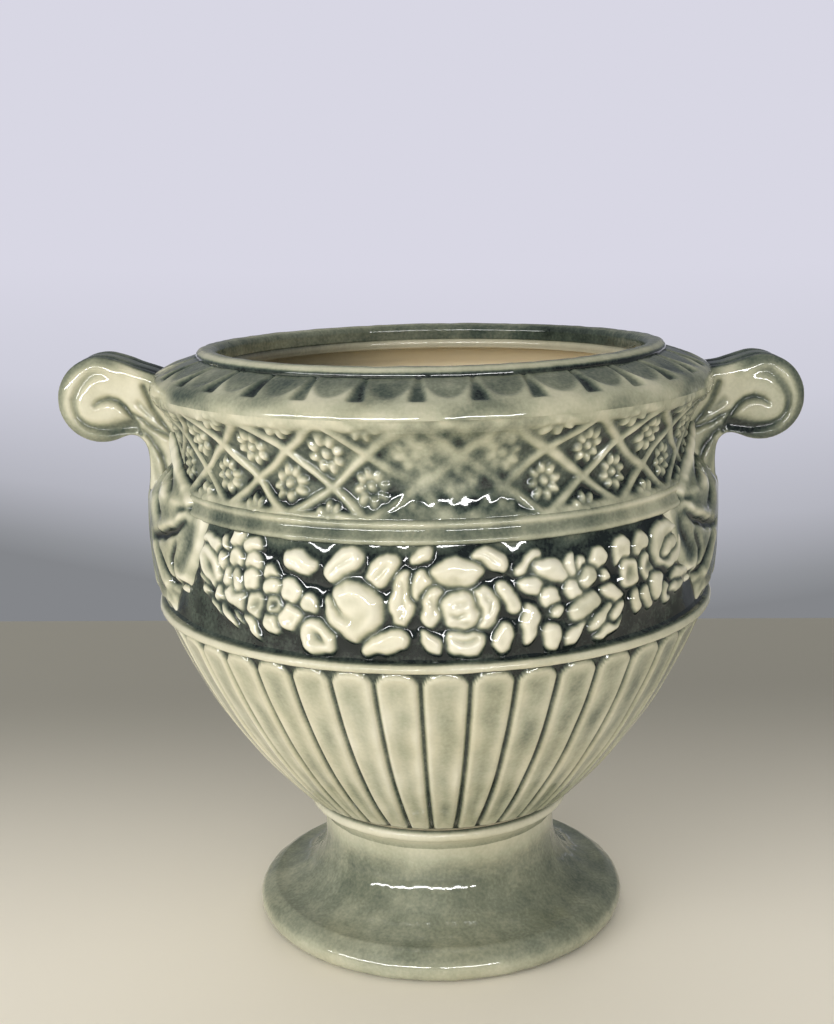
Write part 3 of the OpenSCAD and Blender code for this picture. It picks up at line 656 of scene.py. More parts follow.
# %% Garland list
# Angle from the front, height, length, width and turn, then the height of the relief, the bend,
# and how pointed, dished and veined the petal is. What a row leaves out is 0.
GARLAND = [
    # The end by the left-hand leaf
    (-50.6, 124.4, 10.0, 4.2, -4, 2.2, 0, 0.5, 0.2),
    (-50.8, 118.3, 12.5, 6.8, -38, 2.3, 0, 0.6, 0.5, 0.3),
    (-52.3, 113.8, 7.5, 2.0, -28, 1.8, 0, 0.7), (-50.2, 110.9, 9.5, 2.0, -30, 1.8, 0, 0.7),
    (-47.6, 108.6, 7.0, 1.7, -30, 1.6, 0, 0.7), (-46.8, 112.4, 3.9, 4.1, 0, 2.2),
    (-43.8, 107.2, 7.5, 2.0, -38, 1.8, 0, 0.6), (-40.6, 108.3, 9.0, 2.5, -32, 2.0, 0, 0.6, 0.2),
    (-37.6, 106.6, 9.0, 2.7, -52, 2.1, 0, 0.6, 0.2), (-42.2, 112.5, 9.2, 4.4, -22, 2.6, 0, 0.3),
    # Clustered bead petals over them
    (-45.7, 125.2, 3.0, 3.8, 0, 2.1), (-46.2, 121.0, 3.8, 4.4, 0, 2.2),
    (-42.2, 127.6, 5.8, 3.9, 62, 2.5, 0, 0.1), (-38.1, 126.4, 5.8, 3.8, 25, 2.5, 0, 0.1),
    (-42.3, 121.8, 5.4, 5.0, 20, 2.5, 0, 0, 0.35), (-37.6, 122.3, 5.8, 4.0, 12, 2.4),
    (-44.6, 117.2, 3.2, 4.8, -15, 2.2), (-41.5, 117.0, 3.9, 4.9, 10, 2.4),
    (-38.1, 117.6, 5.2, 4.8, 0, 2.6, 0, 0, 0.3), (-33.2, 119.3, 6.2, 4.0, -62, 2.4, 0, 0.2, 0.3),
    # Five-petal flower
    (-36.3, 111.6, 6.2, 5.8, 70, 2.7, 0, 0, 0.5), (-28.8, 116.6, 5.8, 5.4, 30, 2.7, 0, 0, 0.3),
    (-33.0, 116.3, 5.0, 4.2, 80, 2.5, 0, 0, 0.2), (-32.6, 107.9, 6.0, 4.6, -35, 2.6, 0, 0, 0.2),
    (-28.5, 109.6, 6.2, 5.2, -28, 2.7, 0, 0, 0.4), (-32.4, 112.6, 4.2, 4.0, 0, 2.1, 0, 0, 0.6),
    # Leaf, bud and blossom
    (-24.4, 113.8, 4.9, 4.2, -10, 2.4, 0, 0, 0.25),
    # Leaves right of the rose
    (17.0, 123.5, 8.6, 3.5, 38, 2.7, 0.04, 0.25), (21.8, 121.4, 10.4, 4.2, -22, 2.8, 0.13, 0.15),
    (17.2, 118.0, 7.4, 3.5, -12, 2.5, 0, 0.2), (21.1, 114.5, 5.2, 4.6, 15, 2.6),
    (22.3, 110.7, 4.0, 3.2, 40, 2.1), (26.0, 115.5, 4.9, 4.7, 0, 2.7),
    (25.8, 122.3, 3.4, 5.0, 10, 2.4), (28.2, 121.5, 3.4, 4.0, 0, 2.2),
    (32.1, 122.5, 5.4, 4.7, -15, 2.5, 0, 0, 0.2), (29.4, 118.3, 4.6, 4.8, -20, 2.6),
    (33.2, 117.3, 3.6, 3.5, 0, 2.3), (26.0, 105.4, 9.6, 3.4, 40, 2.3, 0, 0.3),
    (28.2, 111.2, 9.8, 4.6, 24, 2.7, 0.07, 0.2), (34.0, 104.9, 11.5, 2.8, 30, 2.2, -0.06, 0.3),
    (31.8, 107.8, 9.4, 3.1, 30, 2.4, 0.05, 0.2), (35.6, 112.4, 10.0, 3.2, -38, 2.5, 0.05, 0.3),
    (35.9, 108.5, 6.0, 2.6, 40, 2.2, -0.05, 0.2),
    # Four-petal flower and the end by the right-hand leaf
    (41.2, 109.9, 6.8, 3.9, 80, 2.4, 0, 0, 0.1), (44.1, 110.0, 6.4, 3.9, 96, 2.4, 0, 0, 0.1),
    (38.1, 123.0, 6.6, 6.2, 0, 2.7, 0, 0, 0.25), (43.6, 123.0, 6.6, 6.2, 0, 2.7, 0, 0, 0.25),
    (39.7, 117.0, 6.6, 6.2, 0, 2.7, 0, 0, 0.6), (45.5, 117.6, 6.8, 6.5, 0, 2.7, 0, 0, 0.6),
    (48.1, 111.6, 7.0, 6.6, 20, 2.5), (50.8, 109.2, 5.2, 5.0, 0, 2.0),
    (52.8, 121.2, 15.5, 10.4, -14, 2.6, 0, 0.1, 0.45), (53.6, 120.8, 8.4, 3.2, 24, 2.4, 0, 0.4),
    (57.0, 112.2, 11.5, 3.4, -4, 2.0, 0, 0.6, 0, 0.3), (55.4, 109.4, 9.0, 2.4, 2, 1.6, 0, 0.6),
]

# Outlines of the larger forms, as angle and height, then top, edge and dish. The rose comes last.
FORMS = [
    # Leaf, great leaves and fruit
    ([(-30.6, 126.0), (-26.8, 127.3), (-23.2, 124.4), (-23.0, 121.4), (-27.0, 120.9),
      (-30.6, 122.8)], 2.7, 1.8),
    ([(-21.9, 122.4), (-18.9, 128.2), (-15.0, 128.6), (-13.0, 126.2), (-16.4, 122.2),
      (-20.8, 118.9)], 3.0, 2.0, 0.1),
    ([(-13.2, 118.6), (-13.4, 122.9), (-10.0, 127.4), (-6.8, 126.8), (-8.0, 122.0),
      (-11.2, 117.2)], 2.8, 1.8, 0.1),
    ([(-9.2, 116.9), (-6.5, 123.8), (-4.0, 122.4), (-4.6, 111.8), (-6.5, 108.4),
      (-8.8, 111.7)], 2.5, 1.6, 0.15),
    ([(-21.2, 116.1), (-18.6, 119.9), (-14.0, 120.3), (-10.6, 116.9), (-9.6, 112.4), (-11.9, 107.0),
      (-15.5, 104.7), (-19.5, 107.8), (-21.6, 112.6)], 3.3, 2.6),
    ([(-5.4, 126.4), (-2.5, 129.1), (-0.7, 128.2), (-1.5, 125.4), (-4.7, 124.6)], 2.5, 1.3),
    ([(-5.1, 121.0), (-2.6, 123.6), (-0.8, 121.6), (-2.6, 116.0), (-4.2, 115.4)], 2.3, 1.3, 0.1),
    # Small blossom and the petals at the foot of the fruit
    ([(-26.4, 107.1), (-24.8, 110.6), (-22.4, 110.2), (-21.4, 108.4), (-18.9, 106.6),
      (-18.9, 103.6), (-20.8, 101.7), (-23.9, 101.5), (-26.2, 103.3)], 2.5, 2.1, 0.35),
    ([(-14.4, 104.2), (-12.0, 106.4), (-8.9, 108.8), (-5.5, 107.9), (-5.4, 104.3), (-8.4, 102.9),
      (-11.2, 102.9), (-13.0, 101.9)], 2.5, 1.7, 0.1),
    # Leaves right of the rose
    ([(10.3, 120.2), (12.6, 119.2), (15.3, 114.5), (15.0, 111.4), (12.9, 111.8),
      (11.2, 116.5)], 2.7, 1.5, 0.1),
    ([(9.6, 107.4), (12.3, 110.6), (13.8, 105.9), (12.4, 102.3), (9.9, 102.9)], 2.4, 1.6, 0.1),
    ([(15.8, 113.9), (18.4, 113.2), (18.8, 107.6), (16.4, 103.2), (14.9, 105.6)], 2.7, 1.6),
    ([(19.6, 108.8), (22.6, 107.8), (22.8, 102.3), (20.3, 101.4), (18.9, 104.0)], 2.5, 1.6),
    # Cabbage rose
    ([(-3.9, 109.2), (-1.3, 107.3), (1.3, 104.8), (0.2, 102.4), (-2.5, 103.4)], 2.4, 1.5, 0.15),
    ([(1.2, 108.8), (8.2, 108.4), (8.2, 102.6), (4.8, 101.9), (1.2, 102.8)], 2.2, 1.6),
    ([(5.0, 117.5), (8.1, 119.2), (10.9, 116.0), (11.0, 111.0), (8.2, 107.8), (6.6, 109.5),
      (7.2, 113.5)], 2.8, 1.9, 0.1),
    ([(-1.6, 118.9), (1.2, 118.6), (0.3, 112.6), (-0.9, 108.6), (-2.9, 110.0),
      (-3.1, 115.2)], 2.7, 1.6, 0.1),
    ([(0.9, 116.9), (3.4, 118.2), (5.6, 117.5), (7.2, 113.2), (6.6, 109.0), (1.7, 108.8),
      (0.6, 113.0)], 3.0, 1.8),
    ([(-1.8, 123.2), (0.1, 125.4), (3.5, 126.2), (7.2, 125.3), (9.2, 122.7), (7.4, 119.9),
      (4.0, 118.6), (0.6, 119.8)], 2.9, 2.2),
    ([(5.8, 126.6), (8.2, 128.4), (11.0, 127.3), (13.2, 124.2), (12.6, 121.3),
      (9.9, 123.4)], 2.8, 1.4),
]
# Creases that fold a form, as angle and height, then width and depth
FOLDS = [
    ([(-20.4, 118.6), (-19.3, 114.0), (-16.6, 110.8)], 0.9, 2.0),
    ([(-30.0, 125.2), (-27.0, 123.6), (-24.2, 121.8)], 0.7, 0.5),
    ([(-21.2, 120.6), (-18.0, 124.2), (-14.6, 127.6)], 0.6, 0.5),
    ([(-12.4, 119.4), (-10.4, 123.0), (-8.4, 126.0)], 0.6, 0.5),
    ([(1.9, 112.6), (3.4, 111.6), (5.0, 112.2)], 0.6, 1.3),
    ([(2.6, 115.4), (4.2, 114.8), (5.6, 115.6)], 0.6, 0.5),
    ([(2.0, 110.4), (4.4, 110.0), (6.4, 110.6)], 0.5, 0.7),
    ([(2.0, 106.2), (4.4, 105.6), (7.4, 106.2)], 0.6, 0.8),
    ([(2.4, 121.0), (4.2, 120.4), (6.2, 121.2)], 0.6, 0.5),
    ([(-1.6, 116.8), (-0.6, 114.4), (-1.4, 110.6)], 0.6, 0.7),
    ([(8.4, 117.2), (9.6, 114.8), (8.8, 110.8)], 0.6, 0.7),
    ([(-23.6, 106.6), (-22.2, 105.6), (-21.2, 104.4)], 0.8, 0.8),
    ([(-7.0, 121.8), (-6.2, 117.0), (-6.4, 111.6)], 0.5, 0.6),
    ([(6.8, 127.2), (9.2, 126.4), (11.8, 123.6)], 0.5, 0.5)]
print("petals and leaves in the garland:", len(GARLAND) + len(FORMS))

# %% Garland panels
GARLAND_STEPS, GARLAND_SPAN = 560, 132.0


def garland_panel(name, middle):
    out = walk(0.3, line((77.4, Z_FRIEZE - 1.2), (73.8, Z_TOP + 0.2)))
    back = out[::-8] - (2.0, 0.0)
    start, local, height, cell = panel(out, GARLAND_STEPS, middle, GARLAND_SPAN)
    work = Relief(local, height)
    for petal in GARLAND:
        work.lay(*petal)
    for form in FORMS:
        work.shape(*form)
    for fold in FOLDS:
        cut(work, *fold)
    crowd = spread(work.h, 1.7, cell)      # slip gathers between close petals
    relief = spread(np.maximum(work.h, 0.6 * crowd), 0.36, cell)
    streaks = 0.6 + 0.5 * wave(local * 4, height, 42)
    bed = 0.9 - 0.42 * soft(crowd, 0.8, 2.2) - 0.26 * soft(height, 124.5, 128.6) * streaks
    low = np.clip(1 - relief / 2.3, 0, 1)
    glaze = 0.15 + (bed - 0.15) * soft(low, 0.12, 0.85) + pooled(relief, cell, 0.5, 0.16, 0.6, 2.4)
    mottle = wave(local * 5, height * 4, 41) + 0.7 * wave(local * 11, height * 8, 43)
    glaze += (0.14 * mottle + spread(work.tone, 0.6, cell)) * soft(relief, 0.3, 1.2)
    return carve(name, out, back, GARLAND_STEPS, relief + 0.1, glaze, None, start, GARLAND_SPAN)


garland_front = garland_panel("garland_front_relief", 0.0)
garland_back = garland_panel("garland_back_relief", 180.0)

# %% [markdown]
# ## Leaves under the handles
# An acanthus leaf folds down from each handle to the lower moulding. Its middle stands proud, and its
# lobes spread to the garland. The same way of laying petals draws it, on a panel of its own, with
# curved cuts for the veins and the pockets between the lobes.

# %% Leaf panels
LEAF_STEPS, LEAF_SPAN = 420, 86.0
LEAF_SINK = 0.7              # how far the panel's bare ground lies inside the wall
# Outline of half a leaf, as millimetres from its middle and height
LEAF = [(-9, 98.6), (22, 98.9), (30, 99.8), (31, 104.0), (33, 107.2), (39, 107.4),
        (41.5, 110.4), (43.4, 114.0), (47.4, 123.5), (49.4, 130.4), (48.4, 132.4), (45.0, 132.6),
        (40.6, 134.4), (35.0, 137.4), (27.0, 141.0), (17.0, 145.5), (8, 150), (-9, 151)]
# Veins and pockets, as angle from the middle and height, then width and depth. A rib has a
# negative depth.
VEINS = [
    # The hook under the fold, and the fold's own crest
    ([(13.5, 119.6), (19.5, 121.6), (25.3, 124.6), (28.8, 127.9)], 1.2, 2.2),
    ([(25.1, 136.2), (28.9, 133.1), (28.6, 130.0), (26.4, 126.8), (19.0, 123.4)], 1.5, -1.1),
    # Pockets
    ([(14.6, 131.6), (15.8, 129.1), (17.8, 127.2)], 1.7, 2.4),
    ([(26.8, 130.6), (30.0, 131.2), (34.0, 131.2)], 1.3, 2.2),
    # The broad lobe: its bright edge, its hollow and its rounded foot
    ([(37.0, 130.4), (35.4, 123.5), (31.6, 115.2)], 0.8, -0.2),
    ([(31.6, 129.0), (30.4, 122.0), (27.4, 116.0)], 2.2, 0.8),
    ([(25.0, 114.2), (28.0, 112.2), (31.0, 112.6)], 1.2, -0.6),
    ([(25.6, 121.2), (23.6, 116.3), (24.4, 112.6)], 0.9, 1.3),
    # The lower blade
    ([(13.0, 119.0), (16.6, 113.4), (19.3, 109.3), (26.1, 106.2)], 1.0, -0.7),
    ([(16.4, 118.0), (20.0, 113.2), (23.0, 110.4), (27.0, 109.8)], 0.9, 1.3),
    ([(21.3, 107.6), (22.6, 103.4), (23.0, 100.6)], 0.9, -0.5),
    # The stem, and the leaflet that comes down to the fold
    ([(5.0, 143.0), (6.6, 128.0), (9.0, 112.0), (14.0, 102.0)], 1.4, 0.7),
    ([(7.0, 147.5), (13.0, 144.0), (19.0, 140.2), (25.1, 136.2)], 1.5, -1.3),
    ([(8.0, 142.6), (13.0, 139.8), (18.4, 136.4), (22.0, 132.6)], 1.1, 1.5)]


def leaf_panel(name, middle):
    out = walk(0.34, line((77.4, 98.5), (76.2, 103)), line((76.2, 103), (73.6, 129)),
               bow((73.6, 129), (73.0, 148), -60))
    back = out[::-8] - (1.5, 0.0)
    start, local, height, cell = panel(out, LEAF_STEPS, middle, LEAF_SPAN)
    work = Relief(np.abs(local), height, 0.5)
    u, v = work.u, work.v
    base = np.broadcast_to(out[:, 0], height.shape) - LEAF_SINK
    inset = within(np.c_[u.ravel(), v.ravel()], np.array(LEAF)).reshape(height.shape)
    full = 80.4 + 2.1 * soft(-u, -30, 0) - (v - 121) ** 2 / 320 - 5.0 * soft(v, 133, 142) - base
    full -= 2.6 * soft(v, 128, 136) * soft(-u, -27, -18)      # the top falls away behind the handle
    full = 2.4 + np.clip(full - 2.4, 0, None) * soft(-u, -49, -18)
    rim = 1 - np.clip(1 - inset / 1.6, 0, 1) ** 2
    work.h = np.minimum(full, 0.6 + 0.8 * inset) * rim * (inset > 0)
    for vein in VEINS:
        cut(work, *vein)
    work.lay(28.6, 109.4, 3.2, 1.8, -20, 3.2)
    relief = spread(np.clip(work.h, 0, None), 0.45, cell)
    glaze = 0.6 - 0.3 * soft(-inset, -3.4, -0.4) + 0.45 * soft(-relief, -1.4, -0.2)
    glaze += pooled(relief, cell, 0.66, 0.4, 0.8, 2.6)
    glaze += 0.1 * wave(local * 3, height * 2, 51) + 0.08 * wave(local * 8, height * 6, 52)
    return carve(name, out, back, LEAF_STEPS, relief - LEAF_SINK, glaze, None, start, LEAF_SPAN)


leaf_left = leaf_panel("acanthus_left", -90.0)
leaf_right = leaf_panel("acanthus_right", 90.0)

# %% [markdown]
# ## Scroll handles
# A handle is a fat scroll on a folded root. It is cut as a slab from its side view, its edges are
# rounded, and then the curl, its groove and the three hanging leaflets are pressed into both faces.
# The right scroll hangs about 3 mm lower than the left one, as it sagged before the firing.

# %% Side view of a handle
SCROLL, SCROLL_R = np.array((93.3, 157.2)), 12.1
HALF = 10.0                  # half the thickness of the slab
SAG = 3.2                    # how much lower the right scroll hangs
HANDLE = np.vstack([
    arc(*SCROLL, SCROLL_R, 100, -112, 72),
    [(87.2, 146.6), (85.6, 147.0), (84.2, 146.9), (82.7, 146.2), (81.4, 144.6), (80.7, 142.4),
     (80.5, 139.0), (80.7, 135.0), (81.2, 131.5), (79.5, 130.0), (76.0, 130.5), (71.5, 132.0),
     (70.3, 137.0), (70.0, 143.0), (71.0, 150.0), (73.0, 157.0), (75.0, 162.0), (77.5, 164.3),
     (80.0, 165.2), (83.0, 166.2), (86.0, 167.5), (88.6, 168.4)]])
GROOVE = [(90.0, 164.2), (92.4, 164.9), (94.8, 164.8), (97.0, 163.0), (99.1, 160.4), (100.5, 157.6),
          (100.5, 155.1), (99.7, 152.6), (98.2, 150.8), (96.3, 149.7), (93.8, 149.1), (90.7, 148.9),
          (87.6, 149.3), (84.6, 149.6)]
HOLLOW = [(94.6, 155.9), (93.3, 157.0), (90.7, 157.6), (88.2, 156.9), (86.3, 155.2), (84.8, 152.9),
          (83.5, 150.4), (82.4, 147.4)]
CREASES = [
    [(80.8, 161.0), (78.6, 155.0), (76.0, 150.8), (73.6, 147.0)],
    [(84.6, 153.4), (81.6, 151.6), (78.4, 149.0), (75.2, 147.2), (73.4, 146.4)],
    [(82.6, 149.2), (79.8, 146.2), (77.4, 142.2), (75.9, 138.6), (75.6, 133.6)]]
DISHES = [[(82.2, 156.2), (79.6, 153.2), (76.8, 150.0)], [(80.4, 148.8), (77.8, 145.4), (75.8, 141.0)],
          [(80.0, 143.4), (78.6, 138.6), (77.6, 134.4)]]


# %% Handles
def side_slab(name, outline, half):
    bpy.ops.object.select_all(action="DESELECT")
    bpy.ops.mesh.primitive_circle_add(vertices=len(outline), radius=MM, fill_type="NGON",
                                      location=(0, 0, 0))
    slab = bpy.context.object
    slab.name = slab.data.name = name
    flat = np.c_[outline[:, 0], np.full(len(outline), -half), outline[:, 1]]
    place_at(slab, flat)
    edit()
    bpy.ops.mesh.extrude_region_move(TRANSFORM_OT_translate={"value": (0, 2 * half * MM, 0)})
    bpy.ops.mesh.select_all(action="SELECT")
    bpy.ops.mesh.normals_make_consistent(inside=False)
    bpy.ops.object.mode_set(mode="OBJECT")
    even = slab.modifiers.new("even", "REMESH")
    even.mode, even.voxel_size = "VOXEL", 0.42 * MM
    bpy.ops.object.modifier_apply(modifier="even")
    return slab


def handle(name, side, sag):
    piece = side_slab(name, HANDLE, HALF)
    co = places(piece)
    flat = co[:, [0, 2]]
    rim, _ = to_line(flat, np.vstack([HANDLE, HANDLE[:1]]))
    face = soft(np.abs(co[:, 1]), HALF - 0.7, HALF - 0.15) * soft(rim, 0.1, 0.6)
    away = flat - SCROLL
    far = np.hypot(*away.T)
    groove, along = to_line(flat, GROOVE)
    groove_w = np.interp(along, [0, 0.2, 0.55, 0.8, 1], [1.6, 1.3, 1.0, 1.6, 2.4])
    groove_d = np.interp(along, [0, 0.15, 0.5, 0.8, 1], [0.2, 0.9, 1.3, 1.9, 2.6])
    sunk = groove_d * bell(groove, groove_w)
    hollow, along = to_line(flat, HOLLOW)
    hollow_w = np.interp(along, [0, 0.3, 1], [0.7, 1.0, 0.8])
    hollow_d = np.interp(along, [0, 0.3, 1], [0.9, 1.8, 2.2])
    sunk = np.maximum(sunk, hollow_d * bell(hollow, hollow_w))
    for crease in CREASES:
        sunk = np.maximum(sunk, 1.4 * bell(to_line(flat, crease)[0], 0.75))
    dished = 0
    for dish in DISHES:
        dished = np.maximum(dished, bell(to_line(flat, dish)[0], 1))
    sunk = sunk + 0.7 * dished
    round_off = np.clip(1 - rim / 2.6, 0, 1)
    sunk += 0.3 * np.clip(far - 8.6, 0, None) * soft(away[:, 0], -10, -1)   # the rim falls back
    co[:, 1] *= (HALF - 2.4 * (1 - np.sqrt(np.clip(1 - round_off ** 2, 0, 1)))) / HALF
    co[:, 1] -= np.sign(co[:, 1]) * sunk * face
    ribs = bell(np.abs(co[:, 1]) - 4.3, 1.2) * (1 - face) * (far > SCROLL_R - 2.5)
    co[:, [0, 2]] -= 0.55 * (ribs / np.maximum(far, 1))[:, None] * away
    co[:, 2] -= sag * soft(co[:, 0], 68, 88)
    place_at(piece, co * (side, 1, 1))
    edit()
    bpy.ops.mesh.vertices_smooth(factor=0.4, repeat=2)
    bpy.ops.mesh.normals_make_consistent(inside=False)
    bpy.ops.object.mode_set(mode="OBJECT")
    bpy.ops.object.shade_smooth()
    cloud = wave(co[:, 0] * 6, co[:, 2] * 2 + co[:, 1], 61)
    band = soft(far, 8.6, 10.8) * soft(away[:, 0], -10, -3)
    glaze = 0.1 + 0.09 * cloud + 0.06 * soft(far, 11, 14)
    glaze += face * (0.33 * np.clip(sunk, 0, 1.8) + 0.2 * band)
    glaze += (1 - face) * (0.42 + 0.16 * soft(away[:, 1], 4, 11) + 0.2 * ribs)
    glaze += 0.35 * soft(-co[:, 0], -84, -76) * soft(co[:, 2], 156, 164)
    # Painted shade: the right-hand handle is drawn darker, most on its faces, being farther from the light
    # on the left.
    glaze += (0.5 + 1.1 * face) * right_shade(co * (side, 1, 1))
    note(piece, "pool", np.clip(glaze, 0, 1))
    note(piece, "inside", np.zeros(len(co)))
    print(name, len(piece.data.polygons), "faces")
    return piece


handle_right = handle("scroll_handle_right", 1, SAG)
handle_left = handle("scroll_handle_left", -1, 0)

# %% [markdown]
# ## Glaze
# All the ware wears one glaze, so one shader paints it. A small class writes shader sums as ordinary
# expressions, which keeps the recipe readable.

# %% Shader helpers
def srgb(r, g, b):
    """A colour as a photograph shows it, in the linear numbers that shaders use."""
    return tuple(c / 12.92 if c <= 0.04045 else ((c + 0.055) / 1.055) ** 2.4
                 for c in (r / 255, g / 255, b / 255)) + (1.0,)


class Wire:
    """The output of a node, which can be added, multiplied and clipped."""

    def __init__(self, paint, socket):
        self.paint, self.socket = paint, socket

    def math(self, operation, a, b=0.0, clip=False):
        return self.paint.node("ShaderNodeMath", {"operation": operation, "use_clamp": clip},
                               {0: a, 1: b})

    def __add__(self, other):
        return self.math("ADD", self, other)

    __radd__ = __add__

    def __mul__(self, other):
        return self.math("MULTIPLY", self, other)

    def __sub__(self, other):
        return self.math("SUBTRACT", self, other)

    def clipped(self):
        return self.math("ADD", self, 0.0, True)


class Paint:
    """A material that is written node by node."""

    def __init__(self, name):
        self.material = bpy.data.materials.new(name)
        self.material.use_nodes = True
        self.tree = self.material.node_tree
        self.tree.nodes.clear()

    def node(self, kind, settings=None, sockets=None, out=0):
        made = self.tree.nodes.new(kind)
        for key, value in (settings or {}).items():
            if key == "stops":
                ramp = made.color_ramp.elements
                while len(ramp) < len(value):
                    ramp.new(0.5)
                for stop, (place, colour) in zip(ramp, value):
                    stop.position, stop.color = place, colour
            else:
                setattr(made, key, value)
        for key, value in (sockets or {}).items():
            if isinstance(value, Wire):
                self.tree.links.new(value.socket, made.inputs[key])
            else:
                made.inputs[key].default_value = value
        return Wire(self, made.outputs[out]) if made.outputs else None

    def mix(self, factor, a, b, blend="MIX"):
        return self.node("ShaderNodeMix", {"data_type": "RGBA", "blend_type": blend},
                         {0: factor, 6: a, 7: b}, 2)

    def noise(self, place, scale, detail=3.0):
        return self.node("ShaderNodeTexNoise", None,
                         {"Vector": place, "Scale": scale, "Detail": detail})

    def finish(self, **sockets):
        shader = self.node("ShaderNodeBsdfPrincipled", None,
                           {k.replace("_", " "): v for k, v in sockets.items()})
        self.node("ShaderNodeOutputMaterial", None, {"Surface": shader})
        return self.material


# %% Celadon glaze
GLAZE_STOPS = [(0.0, srgb(234, 230, 210)), (0.2, srgb(208, 205, 181)), (0.4, srgb(173, 174, 151)),
               (0.6, srgb(126, 131, 113)), (0.8, srgb(74, 84, 75)), (1.0, srgb(24, 32, 32))]
TAN = srgb(252, 238, 206)


def glaze_paint(name):
    paint = Paint(name)
    place = paint.node("ShaderNodeTexCoord", out=3)
    pool = paint.node("ShaderNodeAttribute", {"attribute_name": "pool"}, out=2)
    inside = paint.node("ShaderNodeAttribute", {"attribute_name": "inside"}, out=2)
    drift = paint.noise(place, 38.0, 4.0)
    patch = paint.noise(place, 170.0, 4.0)
    grain = paint.noise(place, 1100.0, 3.0)
    depth_and_shade = pool + (drift - 0.5) * 0.16 + (patch - 0.5) * (pool * 0.36 + 0.1)
    depth_and_shade = depth_and_shade + (grain - 0.5) * (pool * 0.3 + 0.06)
    colour = paint.node("ShaderNodeValToRGB", {"stops": GLAZE_STOPS}, {"Fac": depth_and_shade.clipped()})
    warm = paint.mix((drift - 0.3) * 0.6, colour, srgb(236, 224, 186), "MULTIPLY")
    colour = paint.mix(inside, warm, TAN)
    bumps = paint.noise(place, 300.0, 2.0) + paint.noise(place, 110.0, 2.0) * 2.0
    normal = paint.node("ShaderNodeBump", None, {"Strength": 0.07, "Distance": 0.0006, "Height": bumps})
    rough = grain * 0.04 + 0.04
    return paint.finish(Base_Color=colour, Roughness=rough, Normal=normal, IOR=1.5)


GLAZE = glaze_paint("celadon_glaze")
print("glaze ready")

# %% Dress the pieces
STANDS_FOR = {
    foot: ("foot", "sage_glaze"), waist: ("waist_ring", "cream_glaze"), bowl: ("fluted_bowl", "cream_glaze"),
    low_ring: ("lower_moulding", "cream_glaze"), band: ("frieze_band", "slate_glaze"),
    top_ring: ("upper_moulding", "cream_glaze"), collar: ("trellis_collar", "sage_glaze"),
    shoulder: ("petal_shoulder", "sage_glaze"), lip: ("mouth_lip", "cream_glaze"),
    leaf_left: ("leaf_mount_left", "cream_glaze"), leaf_right: ("leaf_mount_right", "cream_glaze"),
    handle_left: ("handle_left", "cream_glaze"), handle_right: ("handle_right", "cream_glaze"),
    garland_front: ("garland_front", "cream_glaze"), garland_back: ("garland_back", "cream_glaze"),
    trellis_front: ("florets_front", "cream_glaze"), trellis_back: ("florets_back", "cream_glaze"),
}
for piece, (node, slot) in STANDS_FOR.items():
    piece.data.materials.clear()
    piece.data.materials.append(GLAZE)
    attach(piece, "root")
    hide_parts(node)
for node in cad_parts.values():
    if not node.hide_render:
        node.data.materials.clear()
        node.data.materials.append(GLAZE)
print("pieces dressed:", len(STANDS_FOR))

# %% [markdown]
# ## Table, light and camera
# The table is painted pale and warm near the planter, and darker and cooler towards the wall as painted
# shade.
# Soft boxes light the ware from the left and the front, and three long thin ones in front give the glaze its
# bright lines.

# %% Table
EYE_BACK = 0.428             # how far the camera stands in front of the planter's axis, in metres
WALL = srgb(216, 215, 228)

bpy.ops.object.select_all(action="DESELECT")
bpy.ops.mesh.primitive_plane_add(size=8, location=(0, 0, 0))
table = bpy.context.object
table.name = "table"
paint = Paint("table_top")
place = paint.node("ShaderNodeTexCoord", out=3)
x = paint.node("ShaderNodeSeparateXYZ", None, {0: place}, out=0)
y = paint.node("ShaderNodeSeparateXYZ", None, {0: place}, out=1)
# Painted shade: the table is drawn paler near the planter and darker and greyer towards the wall, as the
# light falls off.
far = paint.node("ShaderNodeMapRange", {"interpolation_type": "SMOOTHSTEP"},
                 {"Value": y, "From Min": -0.06, "From Max": 0.2})
board = paint.mix(far, srgb(248, 240, 223), srgb(156, 152, 140))
top = paint.node("ShaderNodeBsdfPrincipled", None, {"Base Color": board, "Roughness": 0.8})
# Past the edge of the table the plane glows as a painting of the wall behind, with painted light and shade:
# paler towards the top, darker towards the table edge and to the sides
past = x.math("MAXIMUM", y + EYE_BACK, 0.1)
slope = x.math("DIVIDE", 1.0, past)
aside = x.math("DIVIDE", x, past) - 0.1
WALL_SHADE_STOPS = [(0.2, WALL), (0.5, srgb(206, 206, 218)), (0.78, srgb(180, 181, 190)),
              (0.93, srgb(146, 148, 153)), (1.0, srgb(132, 134, 138))]
tone = paint.node("ShaderNodeValToRGB", {"stops": WALL_SHADE_STOPS},
                  {"Fac": slope * (0.72 + aside * aside * 1.1)})
wall = paint.node("ShaderNodeEmission", None, {"Color": tone})
edge = x.math("GREATER_THAN", y + x * 0.062, 0.296)
both = paint.node("ShaderNodeMixShader", None, {0: edge, 1: top, 2: wall})
paint.node("ShaderNodeOutputMaterial", None, {"Surface": both})
table.data.materials.append(paint.material)

# %% World
world = bpy.data.worlds.new("studio")
bpy.context.scene.world = world
world.use_nodes = True
tree = world.node_tree
tree.nodes.clear()
ray = tree.nodes.new("ShaderNodeLightPath")
end = tree.nodes.new("ShaderNodeOutputWorld")


def sky(colour, strength):
    made = tree.nodes.new("ShaderNodeBackground")
    made.inputs["Color"].default_value, made.inputs["Strength"].default_value = colour, strength
    return made.outputs[0]


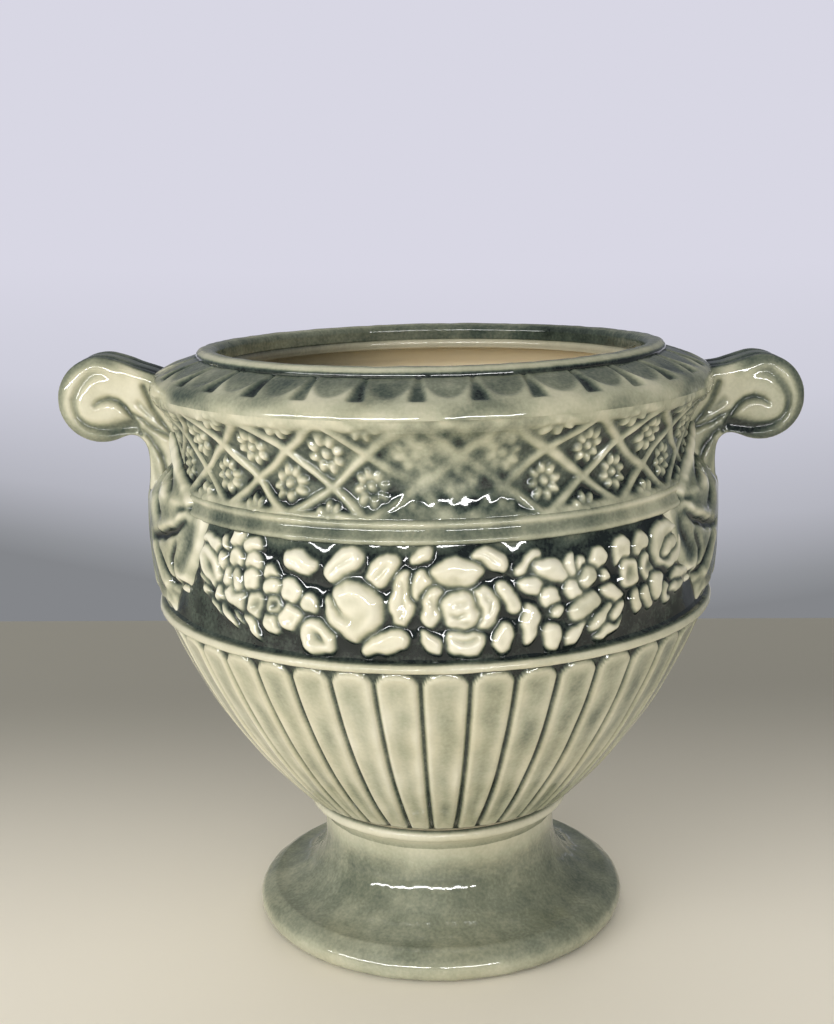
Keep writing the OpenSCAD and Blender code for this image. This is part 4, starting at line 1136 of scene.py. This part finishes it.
def either(kind, yes, no):
    made = tree.nodes.new("ShaderNodeMixShader")
    for k, socket in enumerate((ray.outputs[kind], no, yes)):
        tree.links.new(socket, made.inputs[k])
    return made.outputs[0]


fill = either("Is Glossy Ray", sky(srgb(200, 205, 215), 0.3), sky(srgb(240, 240, 240), 0.5))
tree.links.new(either("Is Camera Ray", sky(WALL, 1.0), fill), end.inputs[0])


# %% Lamps
def lamp(name, at, aim_z, wide, tall, power):
    """A panel of light that faces the planter's axis at a height; sizes in metres, power in watts."""
    data = bpy.data.lights.new(name, "AREA")
    data.shape, data.size, data.size_y = "RECTANGLE", wide, tall
    data.energy = power
    made = bpy.data.objects.new(name, data)
    bpy.context.scene.collection.objects.link(made)
    away = Vector(at) - Vector((0, 0, aim_z))
    made.rotation_euler = away.to_track_quat("Z", "Y").to_euler()
    made.location = at
    return made


BOXES = [("key", (-1.3, -0.9, 0.45), 1.1, 13), ("front", (0, -1.4, 0.5), 1.2, 8),
         ("fill", (1.2, -0.6, 0.9), 1.0, 0.6), ("back_fill", (0.1, 1.4, 0.9), 1.2, 7)]
for name, at, size, power in BOXES:
    lamp(name, at, 0.1, size, size, power).visible_glossy = False
STRIPS = [("strip_far_left", -52, 6), ("strip_left", -20, 9), ("strip_right", 17, 8)]
STRIP_FAR, STRIP_Z = 1.35, 0.33
for name, azimuth, power in STRIPS:
    x, y = STRIP_FAR * math.sin(math.radians(azimuth)), -STRIP_FAR * math.cos(math.radians(azimuth))
    lamp(name, (x, y, STRIP_Z), 0.14, 0.78, 0.06, power).visible_diffuse = False

# %% Camera
data = bpy.data.cameras.new("camera")
data.sensor_width = 36.0
data.lens = 1500 / 1024 * data.sensor_width      # 1500 pixels, over the taller side of 1024
camera = bpy.data.objects.new("camera", data)
bpy.context.scene.collection.objects.link(camera)
camera.location = (-0.0048, -EYE_BACK, 0.216)
camera.rotation_mode = "XYZ"
tilt = Matrix.Rotation(math.radians(90 - 12.5), 3, "X")
roll = Matrix.Rotation(math.radians(-1.26), 3, "Z")
camera.rotation_euler = (tilt @ roll).to_euler()
bpy.context.scene.camera = camera
bpy.context.scene.view_settings.view_transform = "Standard"
